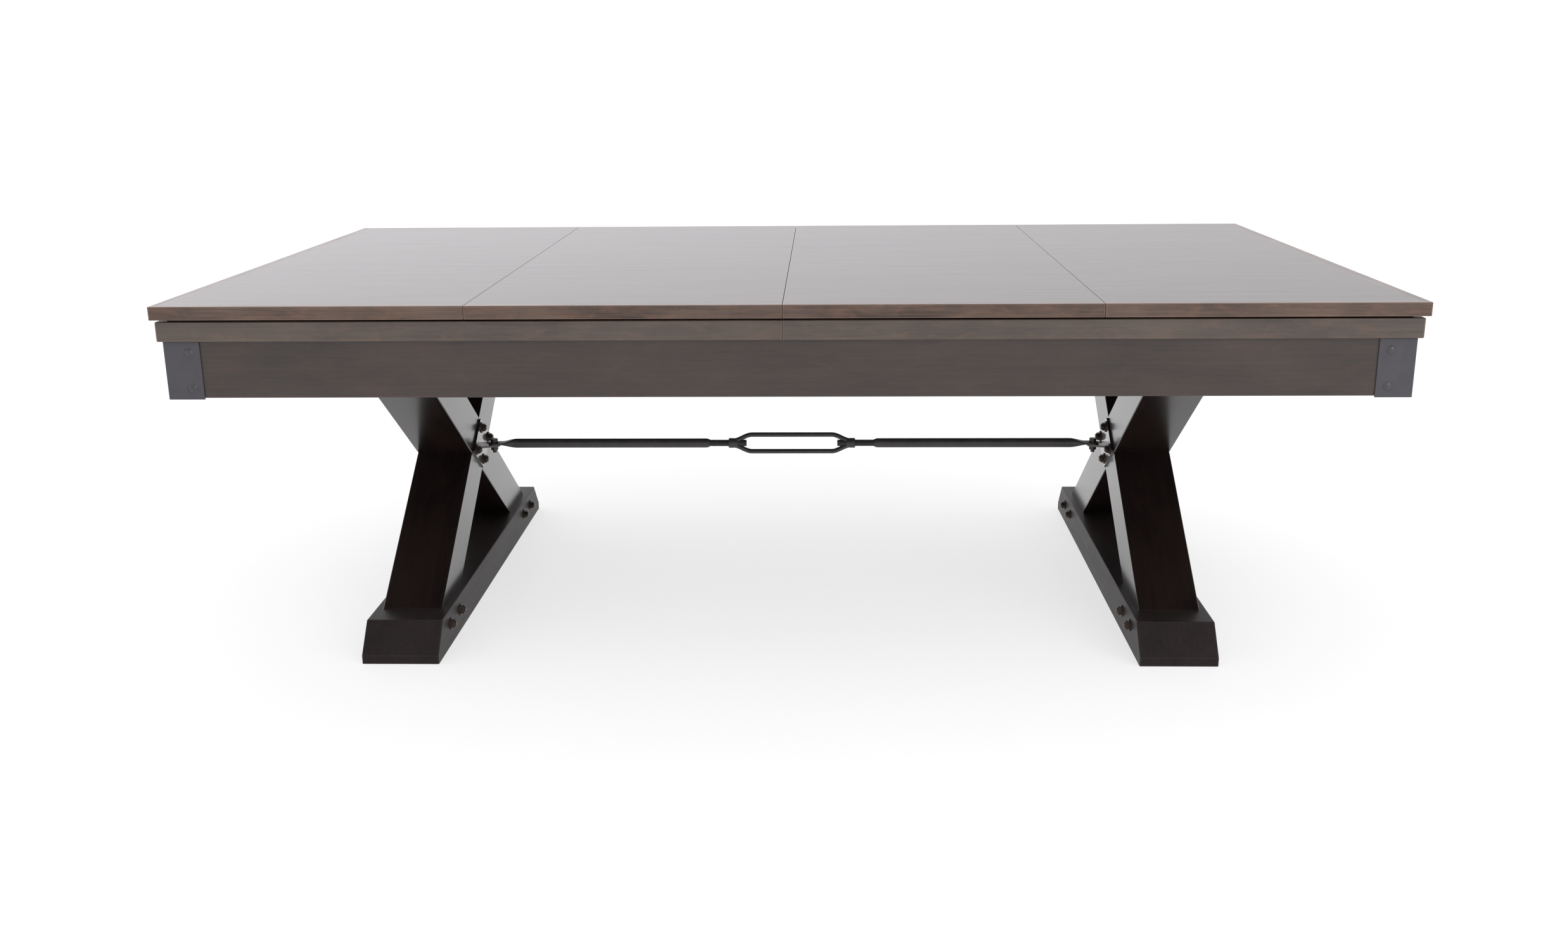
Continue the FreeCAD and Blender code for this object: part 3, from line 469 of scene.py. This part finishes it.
CAD_LOOKS = {
    "dining_panel": veneer, "panel_edging": edging,
    "rail_front": rail_x, "rail_back": rail_x, "rail_left": rail_y, "rail_right": rail_y,
    "rail_sights": inlay, "rail_bolts": zinc, "slate_left": slate, "slate_centre": slate,
    "slate_right": slate, "apron_front": apron_x, "apron_back": apron_x, "apron_left": apron_y,
    "apron_right": apron_y, "corner_brackets": powder, "bracket_rivets": rivet_paint,
    "slate_rim_strips": frame_x, "long_beams": frame_x, "cross_beams": frame_y, "head_beam": frame_y,
    "leg_left_rising": leg_rise, "leg_right_rising": leg_rise, "leg_left_falling": leg_fall,
    "leg_right_falling": leg_fall, "foot_": foot_wood, "hex_bolts": black_oxide,
    "flat_washers": black_oxide, "tie_plate": plate_black, "tab_bolts": black_oxide,
    "tab_nuts": black_oxide,
}


def dress_cad_nodes():
    """Gives each CAD node that stays in view its own procedural material."""
    for name, obj in NODES.items():
        for start, material in CAD_LOOKS.items():
            if name.startswith(start):
                obj.data.materials.clear()
                obj.data.materials.append(material)


# -------------------------------------------------------------- bed cloth

CORNER_FLANGE, SIDE_FLANGE = 72 * MM, 66 * MM
CORNER_CUP, SIDE_CUP = 60 * MM, 54 * MM
CUP_TO_SLATE = 1.5 * MM
CLOTH_T = 0.8 * MM
CLOTH_TUCK = 14 * MM
CLOTH_WRAP = 20 * MM
CLOTH_ROLL = 2 * MM
ROLL_STEPS = 4
MOUTH_POINTS = 64


def pocket_centres():
    """(centre, cup radius, direction to the middle of the bed in degrees) of all six."""
    found = []
    for lo, hi in loose_boxes("corner_pockets"):
        mid = (lo + hi) / 2
        facing = math.degrees(math.atan2(-math.copysign(1, mid.y), -math.copysign(1, mid.x)))
        found.append((mid, CORNER_CUP, facing))
    for lo, hi in loose_boxes("side_pockets"):
        mid = (lo + hi) / 2
        found.append((mid, SIDE_CUP, -90.0 if mid.y > 0 else 90.0))
    return found


def rolled_edge(bm, ring, outward, drop):
    """Turns a ring of cloth over an edge and hangs it down. outward gives each point's way."""
    rows = [ring]
    start = [v.co.copy() for v in ring]
    for k in range(1, ROLL_STEPS + 1):
        a = math.pi / 2 * k / ROLL_STEPS
        rows.append([bm.verts.new(p + way * (CLOTH_ROLL * math.sin(a))
                                  - Z * (CLOTH_ROLL * (1 - math.cos(a))))
                     for p, way in zip(start, outward)])
    rows.append([bm.verts.new(p + way * CLOTH_ROLL - Z * drop) for p, way in zip(start, outward)])
    for upper, lower in zip(rows, rows[1:]):
        for j in range(len(ring)):
            k = (j + 1) % len(ring)
            bm.faces.new((upper[j], upper[k], lower[k], lower[j]))


def make_bed_cloth():
    """One sheet over all the slates, turned down at its edges and into each pocket mouth."""
    lo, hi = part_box("bed_cloth")
    z = hi.z - CLOTH_T / 2
    bm = bmesh.new()
    edge = CLOTH_ROLL - CLOTH_T / 2
    corners = [(lo.x + edge, lo.y + edge), (hi.x - edge, lo.y + edge),
               (hi.x - edge, hi.y - edge), (lo.x + edge, hi.y - edge)]
    outer = [bm.verts.new((x, y, z)) for x, y in corners]
    ways = [Vector((math.copysign(1, x), math.copysign(1, y), 0)) for x, y in corners]
    rings = [(outer, ways, CLOTH_WRAP)]
    area = (hi.x - lo.x + 2 * CLOTH_WRAP) * (hi.y - lo.y + 2 * CLOTH_WRAP)
    for mid, cup, _ in pocket_centres():
        r = cup + CUP_TO_SLATE - CLOTH_T + CLOTH_ROLL
        ways = [Vector((-math.cos(a), -math.sin(a), 0))
                for a in np.linspace(0, 2 * math.pi, MOUTH_POINTS, endpoint=False)]
        ring = [bm.verts.new((mid.x - w.x * r, mid.y - w.y * r, z)) for w in ways]
        rings.append((ring, ways, CLOTH_TUCK))
        area -= math.pi * (r - CLOTH_TUCK) ** 2
    edges = []
    for ring, _, _ in rings:
        for j, vert in enumerate(ring):
            edges.append(bm.edges.new((vert, ring[(j + 1) % len(ring)])))
    bmesh.ops.triangle_fill(bm, use_beauty=True, edges=edges)
    for ring, ways, drop in rings:
        rolled_edge(bm, ring, ways, drop)
    mesh = bpy.data.meshes.new("bed_cloth_sheet")
    bmesh.ops.recalc_face_normals(bm, faces=bm.faces)
    bm.to_mesh(mesh)
    bm.free()
    obj = bpy.data.objects.new("bed_cloth_sheet", mesh)
    bpy.context.scene.collection.objects.link(obj)
    mesh.materials.append(cloth)
    modify(obj, "SOLIDIFY", thickness=CLOTH_T, offset=0.0)
    apply_modifiers(obj)
    shade_by_angle(obj, 50)
    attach(obj, ROOT)
    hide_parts("bed_cloth")


# --------------------------------------------------------------- cushions

CORNER_FACING, SIDE_FACING = math.radians(38.0), math.radians(76.0)
BACK_GAP = 0.4 * MM
BASE_DEPTH = 12 * MM
UNDERCUT_IN, UNDERCUT_DOWN = 8 * MM, 12 * MM
NOSE_R, NOSE_BELOW_TOP = 3.2 * MM, 6.0 * MM
NOSE_FROM, NOSE_TO, NOSE_STEPS = math.radians(-62), math.radians(86), 6
CREST_IN, CREST_UP = 18 * MM, 4.4 * MM
# Where the cloth is tucked in: from the wood, below the top
TUCK = ((3.0 * MM, 0.5 * MM), (1.6 * MM, 1.0 * MM), (1.1 * MM, 3.0 * MM), (BACK_GAP, 3.2 * MM))
CUSHION_ROWS = 60


def cushion_profile(depth, low, nose, top):
    """Points (distance from the rail wood, height): K profile with a rounded nose and a
    groove where the cloth is tucked in behind the feather strip."""
    points = [(BACK_GAP, low), (BASE_DEPTH, low), (depth - UNDERCUT_IN, nose - UNDERCUT_DOWN)]
    for a in np.linspace(NOSE_FROM, NOSE_TO, NOSE_STEPS + 1):
        points.append((depth - NOSE_R + NOSE_R * math.cos(a), nose + NOSE_R * math.sin(a)))
    points.append((depth - CREST_IN, nose + CREST_UP))
    for from_wood, below_top in TUCK:
        points.append((from_wood, top - below_top))
    return points


def make_cushion(node, along, inward, facing_low, facing_high):
    """A cushion along its rail, cut back at both ends to the given facing angles."""
    lo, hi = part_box(node)
    size = hi - lo
    axis = 0 if abs(along.x) else 1
    depth = size[1 - axis]
    wall = lo[1 - axis] if inward[1 - axis] > 0 else hi[1 - axis]
    profile = cushion_profile(depth, lo.z, hi.z - NOSE_BELOW_TOP, hi.z)
    verts = []
    for share in np.linspace(0.0, 1.0, CUSHION_ROWS):
        for d, z in profile:
            start = lo[axis] + d / math.tan(facing_low)
            end = hi[axis] - d / math.tan(facing_high)
            at = [0.0, 0.0, z]
            at[axis] = start + (end - start) * share
            at[1 - axis] = wall + inward[1 - axis] * d
            verts.append(at)
    faces = rings_to_faces(CUSHION_ROWS, len(profile), caps=True)
    obj = piece(node + "_cloth", verts, faces, cloth, "cushion_cloth", node)
    soften(obj, 1.3 * MM, 3, 50)
    shade_by_angle(obj, 48)


def make_cushions():
    for side, inward in (("front", Y), ("back", -Y)):
        make_cushion("cushion_" + side + "_left", X, inward, CORNER_FACING, SIDE_FACING)
        make_cushion("cushion_" + side + "_right", X, inward, SIDE_FACING, CORNER_FACING)
    make_cushion("cushion_left_end", Y, X, CORNER_FACING, CORNER_FACING)
    make_cushion("cushion_right_end", Y, -X, CORNER_FACING, CORNER_FACING)


# ---------------------------------------------------------------- pockets

POCKET_WALL, POCKET_FLOOR = 4 * MM, 4 * MM
CUP_STEPS, CUP_LEVELS = 120, 22
CUP_CLEAR, LINING_OUT = 0.4 * MM, 0.2 * MM
LIP_R, LIP_STEPS = POCKET_WALL / 2, 8
BASE_R, BASE_STEPS = 5 * MM, 6
BASE_FLAT = 0.55
POLE_R, DIMPLE = 0.3 * MM, 0.6 * MM
WAIST = 0.6 * MM
FOLD, FOLD_COUNT = 0.7 * MM, 9
MOUTH_BELOW_SLATE = 1.2 * MM
# Guard behind the mouth: half its span, in degrees, and how softly it ends
GUARD_HALF = {CORNER_CUP: 118.0, SIDE_CUP: 96.0}
GUARD_EASE = 9.0
FLANGE_T, FLANGE_EASE, FLANGE_LAP = 4 * MM, 1 * MM, 0.3 * MM
FLANGE_STEPS = 96
STITCH_R, STITCH_LIFT, STITCH_DOWN = 0.55 * MM, 0.25 * MM, 7 * MM
# Degrees round the cup from one stitch to the next, and left free at each end of the guard
STITCH_PITCH, STITCH_MARGIN = 4.4, 12.0
STITCH_FROM, STITCH_TO = 0.18, 0.82
STITCH_RINGS, STITCH_SIDES = 5, 6


def smooth_step(low, high, value):
    t = min(max((value - low) / (high - low), 0.0), 1.0)
    return t * t * (3.0 - 2.0 * t)


def cup_outline(cup, floor, rim, fold):
    """The cup's section at one angle, as (radius, height): up the outside, over the lip, down
    the inside, and back under the floor."""
    inner = cup - POCKET_WALL
    outer = cup - CUP_CLEAR
    shares = [k / (CUP_LEVELS - 1) for k in range(CUP_LEVELS)]
    rim_at = rim - LIP_R
    outline = []
    for share in shares:
        low = floor + BASE_R
        outline.append((outer - WAIST * math.sin(math.pi * share), low + (rim_at - low) * share))
    for k in range(1, LIP_STEPS):
        t = math.pi * k / LIP_STEPS
        outline.append((outer - LIP_R + LIP_R * math.cos(t), rim_at + LIP_R * math.sin(t)))
    inside = floor + POCKET_FLOOR
    for share in reversed(shares):
        low = inside + BASE_R
        outline.append((inner + LINING_OUT + fold * share, low + (rim_at - low) * share))
    turns = [math.pi / 2 * k / BASE_STEPS for k in range(1, BASE_STEPS)]
    for t in turns:
        outline.append((inner - BASE_R + BASE_R * math.cos(t), inside + BASE_R - BASE_R * math.sin(t)))
    outline.append((inner * BASE_FLAT, inside))
    outline.append((POLE_R, inside - DIMPLE))
    outline.append((POLE_R, floor))
    outline.append((cup * BASE_FLAT, floor))
    for t in turns:
        outline.append((outer - BASE_R + BASE_R * math.sin(t), floor + BASE_R - BASE_R * math.cos(t)))
    return outline


def make_pocket(mid, cup, facing, index):
    """A moulded leather cup whose wall rises into a guard behind the mouth."""
    lo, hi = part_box("corner_pockets" if cup == CORNER_CUP else "side_pockets")
    low_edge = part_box("slate_centre")[1].z - MOUTH_BELOW_SLATE
    verts = []
    for j in range(CUP_STEPS):
        a = 2 * math.pi * j / CUP_STEPS
        away = abs((math.degrees(a) - facing) % 360.0 - 180.0)
        guard = 1.0 - smooth_step(GUARD_HALF[cup] - GUARD_EASE, GUARD_HALF[cup], away)
        rim = low_edge + (hi.z - low_edge) * guard
        fold = FOLD * math.sin(FOLD_COUNT * a + index) * (1.0 - guard)
        outline = cup_outline(cup, lo.z, rim, fold)
        for r, z in outline:
            verts.append((mid.x + r * math.cos(a), mid.y + r * math.sin(a), z))
    return verts, rings_to_faces(CUP_STEPS, len(outline), closed_rows=True)


def flange_ring(mid, cup, flange, z0, z1):
    """The flat leather ring that is screwed up against the slate's underside."""
    verts = []
    r0, r1 = cup - FLANGE_LAP, flange
    section = [(r0, z0), (r1 - FLANGE_EASE, z0), (r1, z0 + FLANGE_EASE), (r1, z1), (r0, z1)]
    for j in range(FLANGE_STEPS):
        a = 2 * math.pi * j / FLANGE_STEPS
        for r, z in section:
            verts.append((mid.x + r * math.cos(a), mid.y + r * math.sin(a), z))
    return verts, rings_to_faces(FLANGE_STEPS, len(section), closed_rows=True)


def stitches(mid, cup, facing, hi_z):
    """Waxed thread round the inside of the rim: one short capsule per stitch."""
    verts, faces = [], []
    half = GUARD_HALF[cup] - STITCH_MARGIN
    start = facing + 180.0 - half
    count = int(2 * half / STITCH_PITCH)
    for j in range(count):
        a0 = math.radians(start + 2 * half * (j + STITCH_FROM) / count)
        a1 = math.radians(start + 2 * half * (j + STITCH_TO) / count)
        r = cup - POCKET_WALL - 0.1 * MM
        base = len(verts)
        for t in np.linspace(0.0, 1.0, STITCH_RINGS):
            a = a0 + (a1 - a0) * t
            thick = STITCH_R * math.sqrt(max(1 - (2 * t - 1) ** 4, 0.15))
            lift = STITCH_LIFT * math.sin(math.pi * t)
            for m in range(STITCH_SIDES):
                b = 2 * math.pi * m / STITCH_SIDES
                rr = r - lift + thick * math.cos(b)
                verts.append((mid.x + rr * math.cos(a), mid.y + rr * math.sin(a),
                              hi_z - STITCH_DOWN + thick * math.sin(b)))
        for f in rings_to_faces(STITCH_RINGS, STITCH_SIDES, caps=True):
            faces.append(tuple(base + v for v in f))
    return verts, faces


def gather(parts):
    """One mesh's vertices and faces out of several."""
    verts, faces = [], []
    for more, more_faces in parts:
        base = len(verts)
        verts.extend(more)
        faces.extend(tuple(base + v for v in f) for f in more_faces)
    return verts, faces


def make_pockets():
    groups = {"corner_pockets": (CORNER_CUP, CORNER_FLANGE), "side_pockets": (SIDE_CUP, SIDE_FLANGE)}
    thread = paint("waxed_thread", (0.30, 0.27, 0.22), 0.6)
    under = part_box("slate_centre")[0].z
    for node, (cup, flange) in groups.items():
        moulded, sewn = [], []
        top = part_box(node)[1].z
        for index, (mid, size, facing) in enumerate(pocket_centres()):
            if size != cup:
                continue
            moulded.append(make_pocket(mid, cup, facing, index))
            moulded.append(flange_ring(mid, cup, flange, under - FLANGE_T, under))
            sewn.append(stitches(mid, cup, facing, top))
        obj = piece(node + "_leather", *gather(moulded), pocket_leather, "pocket_leather", node)
        shade_by_angle(obj, 55)
        piece(node + "_stitches", *gather(sewn), thread, "pocket_leather")


# --------------------------------------------------------------- felt pads

BOX_FACES = ((0, 1, 3, 2), (4, 6, 7, 5), (0, 4, 5, 1), (2, 3, 7, 6), (0, 2, 6, 4), (1, 5, 7, 3))


def block(lo, hi):
    """A plain block between two corners, before its edges are rounded."""
    verts = [(x, y, z) for x in (lo.x, hi.x) for y in (lo.y, hi.y) for z in (lo.z, hi.z)]
    return verts, BOX_FACES


def make_pads():
    for i in "1234":
        verts, faces = gather(block(lo, hi) for lo, hi in loose_boxes("panel_pads_" + i))
        obj = piece("panel_pads_" + i + "_felt", verts, faces, pad_felt, "felt_pad",
                    "panel_pads_" + i, body="dining_section_" + i)
        soften(obj, 1.1 * MM, 3)
        shade_by_angle(obj, 60)


# ----------------------------------------------------------- tie rod parts

# Tie tubes: round, then squashed flat where the tab's bolt goes through
TAB_BOLT_X = 772 * MM
TUBE_R, TUBE_BORE, TUBE_BORE_DEPTH = 12 * MM, 9.1 * MM, 45 * MM
FLAT_HALF, FLAT_T = 15 * MM, 5 * MM
ROUND_UNTIL, FLAT_FROM = 712 * MM, 754 * MM
MOUTH_STATIONS = (0.0, 3.5 * MM, 7 * MM, 9 * MM)
MOUTH_WALL, MOUTH_TAPER, MOUTH_END = 0.5 * MM, 8 * MM, 12 * MM
ROUND_FROM, ROUND_STATIONS, SQUASH_STATIONS = 30 * MM, 12, 22
TIP_TURNS = range(8, 89, 8)
TUBE_COLS = 48

# Threaded ends
THREAD_PITCH, THREAD_DEPTH = 2.5 * MM, 1.2 * MM
THREAD_CHAMFER, THREAD_START_CUT, THREAD_END_CUT = 1.2 * MM, 1.3 * MM, 0.1 * MM
THREAD_HIDDEN = 38 * MM
THREAD_SLICES, THREAD_COLS = 8, 32

# Turnbuckle
HUB_END, HUB_L, HUB_R, HUB_BORE = 163 * MM, 24 * MM, 12.75 * MM, 9.05 * MM
HUB_CHAMFER, HUB_NECK = 1.2 * MM, 2.4 * MM
HUB_SIDES, BORE_SIDES = 40, 48
ARM_WIDE, ARM_THICK, ARM_STATIONS = 7.4 * MM, 5.9 * MM, 97
ARM_ROOT_X, ARM_ROOT_Z, ARM_FLAT_X = 152 * MM, 6.0 * MM, 103 * MM
FORGING_VOXEL = 0.9 * MM
TIE_Z = (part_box("turnbuckle_body")[0].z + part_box("turnbuckle_body")[1].z) / 2


def squashed(x):
    """Half width, half thickness and squareness of the tube's section at x."""
    t = smooth_step(ROUND_UNTIL, FLAT_FROM, x)
    half_y = TUBE_R + (FLAT_HALF - TUBE_R) * smooth_step(0.0, 0.8, t)
    half_z = TUBE_R + (FLAT_T / 2 - TUBE_R) * t
    if x > TAB_BOLT_X:
        half_y = math.sqrt(max(FLAT_HALF ** 2 - (x - TAB_BOLT_X) ** 2, (0.6 * MM) ** 2))
    return half_y, half_z, 2.0 + 5.0 * t


def make_tube(side, sign):
    """One tie tube, with a bored and rounded mouth and a flattened end."""
    lo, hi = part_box("tie_tube_" + side)
    start = min(abs(lo.x), abs(hi.x))
    end = max(abs(lo.x), abs(hi.x))
    stations = [start + step for step in MOUTH_STATIONS]
    stations += list(np.linspace(start + ROUND_FROM, ROUND_UNTIL, ROUND_STATIONS))
    stations += list(np.linspace(ROUND_UNTIL, FLAT_FROM, SQUASH_STATIONS)[1:])
    stations += [(FLAT_FROM + TAB_BOLT_X) / 2, TAB_BOLT_X]
    stations += [TAB_BOLT_X + FLAT_HALF * math.sin(math.radians(a)) for a in TIP_TURNS]
    cols = TUBE_COLS
    mouth_r = TUBE_BORE + MOUTH_WALL
    verts = []
    for x in stations:
        half_y, half_z, power = squashed(x)
        taper = smooth_step(start - 1 * MM, start + MOUTH_TAPER, x)
        if x < start + MOUTH_END:
            half_y = half_z = mouth_r + (TUBE_R - mouth_r) * taper
        for j in range(cols):
            a = 2 * math.pi * j / cols
            c, s = math.cos(a), math.sin(a)
            y = math.copysign(half_y * abs(c) ** (2 / power), c)
            z = math.copysign(half_z * abs(s) ** (2 / power), s)
            verts.append((sign * min(x, end), y, TIE_Z + z))
    rows = len(stations)
    faces = rings_to_faces(rows, cols)
    faces.append(tuple((rows - 1) * cols + j for j in range(cols)))
    for x in (start, start + TUBE_BORE_DEPTH):
        base = len(verts)
        for j in range(cols):
            a = 2 * math.pi * j / cols
            verts.append((sign * x, TUBE_BORE * math.cos(a), TIE_Z + TUBE_BORE * math.sin(a)))
        before = 0 if x == start else base - cols
        for j in range(cols):
            k = (j + 1) % cols
            faces.append((before + j, base + j, base + k, before + k))
    faces.append(tuple(len(verts) - cols + j for j in range(cols)))
    obj = piece("tie_tube_" + side + "_steel", verts, faces, tie_steel, "tie_steel",
                "tie_tube_" + side)
    shade_by_angle(obj, 40)


def make_threaded_end(side, sign):
    """A rod with a real helical thread where it shows: right-hand at one end, left at the other."""
    lo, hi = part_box("threaded_end_" + side)
    start = min(abs(lo.x), abs(hi.x))
    end = max(abs(lo.x), abs(hi.x))
    radius = (hi.z - lo.z) / 2
    cols = THREAD_COLS
    x = start + THREAD_CHAMFER
    stations = [start, x]
    while x < end - THREAD_HIDDEN:
        x += THREAD_PITCH / THREAD_SLICES
        stations.append(x)
    stations += [end - 1 * MM, end]
    verts = []
    for i, x in enumerate(stations):
        for j in range(cols):
            a = 2 * math.pi * j / cols
            turn = (x / THREAD_PITCH - a / (2 * math.pi)) % 1.0
            tooth = min(max(abs(2 * turn - 1) * 1.5 - 0.25, 0.0), 1.0)
            r = radius - THREAD_DEPTH * (1.0 - tooth)
            if i == 0:
                r = radius - THREAD_START_CUT
            if i >= len(stations) - 2:
                r = radius - THREAD_END_CUT
            verts.append((sign * x, r * math.cos(a), TIE_Z + r * math.sin(a)))
    obj = piece("threaded_end_" + side + "_thread", verts, rings_to_faces(len(stations), cols, caps=True),
                tie_steel, "tie_steel", "threaded_end_" + side)
    shade_by_angle(obj, 50)


def tube_along(path, radius_y, radius_z, cols=20):
    """A closed sweep in the XZ plane with an oval section."""
    verts = []
    for i, at in enumerate(path):
        before = path[max(i - 1, 0)]
        after = path[min(i + 1, len(path) - 1)]
        ahead = (after - before).normalized()
        up = Vector((-ahead.z, 0, ahead.x))
        for j in range(cols):
            a = 2 * math.pi * j / cols
            verts.append(at + Y * (radius_y * math.cos(a)) + up * (radius_z * math.sin(a)))
    return verts, rings_to_faces(len(path), cols, caps=True)


def lathe(outline, sides):
    """A closed round body about the tie's axis, from (x, radius) stations."""
    verts = []
    for x, r in outline:
        for j in range(sides):
            a = 2 * math.pi * j / sides
            verts.append((x, r * math.cos(a), TIE_Z + r * math.sin(a)))
    return verts, rings_to_faces(len(outline), sides, caps=True)


def make_turnbuckle():
    """A drop-forged body: hubs and arms joined, remeshed so that they flow together, then bored."""
    lo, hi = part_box("turnbuckle_body")
    reach = (hi.z - lo.z) / 2 - ARM_THICK
    hub_outline = ((HUB_END, HUB_R - HUB_CHAMFER), (HUB_END - HUB_CHAMFER, HUB_R),
                   (HUB_END - HUB_L / 2, HUB_R), (HUB_END - HUB_L + 4 * MM, HUB_R - 0.6 * MM),
                   (HUB_END - HUB_L, HUB_R - HUB_NECK))
    parts = []
    for sign in (-1, 1):
        parts.append(lathe([(sign * x, r) for x, r in hub_outline], HUB_SIDES))
    for sign in (-1, 1):
        path = []
        for x in np.linspace(-ARM_ROOT_X, ARM_ROOT_X, ARM_STATIONS):
            share = 1.0 - smooth_step(ARM_FLAT_X, ARM_ROOT_X, abs(x))
            path.append(Vector((x, 0, TIE_Z + sign * (ARM_ROOT_Z + (reach - ARM_ROOT_Z) * share))))
        parts.append(tube_along(path, ARM_WIDE, ARM_THICK))
    obj = piece("turnbuckle_forging", *gather(parts), tie_steel, "tie_steel", "turnbuckle_body",
                body="turnbuckle")
    modify(obj, "REMESH", mode="VOXEL", voxel_size=FORGING_VOXEL, use_smooth_shade=True)
    modify(obj, "SMOOTH", factor=0.5, iterations=3)
    apply_modifiers(obj)
    bore_end = HUB_END + 5 * MM
    tool, tool_faces = lathe([(-bore_end, HUB_BORE), (bore_end, HUB_BORE)], BORE_SIDES)
    mesh = bpy.data.meshes.new("bore_tool")
    mesh.from_pydata(tool, [], tool_faces)
    cutter = bpy.data.objects.new("bore_tool", mesh)
    bpy.context.scene.collection.objects.link(cutter)
    tidy_normals(cutter)
    modify(obj, "BOOLEAN", operation="DIFFERENCE", object=cutter, solver="EXACT")
    apply_modifiers(obj)
    bpy.data.objects.remove(cutter)
    shade_by_angle(obj, 45)


# ------------------------------------------------------------- the setting

def make_camera():
    down, left, roll = (math.radians(v) for v in (CAMERA_DOWN, CAMERA_LEFT, CAMERA_ROLL))
    ahead = Vector((-math.sin(left) * math.cos(down), math.cos(left) * math.cos(down),
                    -math.sin(down)))
    level = Vector((math.cos(left), math.sin(left), 0))
    below = ahead.cross(level)
    right = level * math.cos(roll) + below * math.sin(roll)
    under = below * math.cos(roll) - level * math.sin(roll)
    cam = bpy.data.objects.new("camera", bpy.data.cameras.new("camera"))
    bpy.context.scene.collection.objects.link(cam)
    turn = Matrix((right, -under, -ahead)).transposed()
    cam.matrix_world = Matrix.Translation(CAMERA_AT) @ turn.to_4x4()
    cam.data.sensor_width = 36.0
    cam.data.lens = CAMERA_LENS
    bpy.context.scene.camera = cam


def make_floor():
    """A pale studio floor, lit a little from within as a white sweep is by its own bounce."""
    turns = [2 * math.pi * k / FLOOR_SIDES for k in range(FLOOR_SIDES)]
    mesh = bpy.data.meshes.new("studio_floor")
    mesh.from_pydata([(FLOOR_REACH * math.cos(a), FLOOR_REACH * math.sin(a), 0) for a in turns], [],
                     [tuple(range(FLOOR_SIDES))])
    floor = bpy.data.objects.new("studio_floor", mesh)
    bpy.context.scene.collection.objects.link(floor)
    mat = bpy.data.materials.new("studio_floor")
    mat.use_nodes = True
    shader = mat.node_tree.nodes["Principled BSDF"]
    shader.inputs["Base Color"].default_value = (FLOOR_GREY, FLOOR_GREY, FLOOR_GREY, 1)
    shader.inputs["Roughness"].default_value = 0.9
    shader.inputs["Specular IOR Level"].default_value = 0.1
    shader.inputs["Emission Color"].default_value = (1, 1, 1, 1)
    shader.inputs["Emission Strength"].default_value = FLOOR_GLOW
    mesh.materials.append(mat)


def make_world():
    """A white studio: brightest behind the table and to its left, dimmer in front of it."""
    world = bpy.data.worlds.new("studio")
    world.use_nodes = True
    bpy.context.scene.world = world
    tree = world.node_tree
    ahead = tree.nodes.new("ShaderNodeTexCoord").outputs["Generated"]
    axes = tree.nodes.new("ShaderNodeSeparateXYZ")
    tree.links.new(ahead, axes.inputs[0])
    gains = []
    for axis, low, high in (("Y", WORLD_FRONT, WORLD_BACK), ("X", WORLD_LEFT, WORLD_RIGHT)):
        gain = tree.nodes.new("ShaderNodeMapRange")
        gain.interpolation_type = "SMOOTHSTEP"
        tree.links.new(axes.outputs[axis], gain.inputs["Value"])
        gain.inputs["From Min"].default_value = -WORLD_BLEND
        gain.inputs["From Max"].default_value = WORLD_BLEND
        gain.inputs["To Min"].default_value = low
        gain.inputs["To Max"].default_value = high
        gains.append(gain.outputs[0])
    total = tree.nodes.new("ShaderNodeMath")
    total.operation = "MULTIPLY"
    tree.links.new(gains[0], total.inputs[0])
    tree.links.new(gains[1], total.inputs[1])
    back = tree.nodes["Background"]
    back.inputs["Color"].default_value = (*WORLD_TINT, 1)
    tree.links.new(total.outputs[0], back.inputs["Strength"])


def soft_light(name, at, aim, size, watts):
    data = bpy.data.lights.new(name, "AREA")
    data.shape = "RECTANGLE"
    data.size, data.size_y = size
    data.energy = watts
    lamp = bpy.data.objects.new(name, data)
    bpy.context.scene.collection.objects.link(lamp)
    lamp.location = at
    lamp.rotation_euler = (Vector(aim) - Vector(at)).to_track_quat("-Z", "Y").to_euler()


bpy.context.scene.view_settings.view_transform = "Standard"
dress_cad_nodes()
make_bed_cloth()
make_cushions()
make_pockets()
make_pads()
for tie_side, tie_sign in (("left", -1), ("right", 1)):
    make_tube(tie_side, tie_sign)
    make_threaded_end(tie_side, tie_sign)
make_turnbuckle()
make_camera()
make_floor()
make_world()
soft_light("key_right", KEY_AT, KEY_AIM, KEY_SIZE, KEY_WATTS)
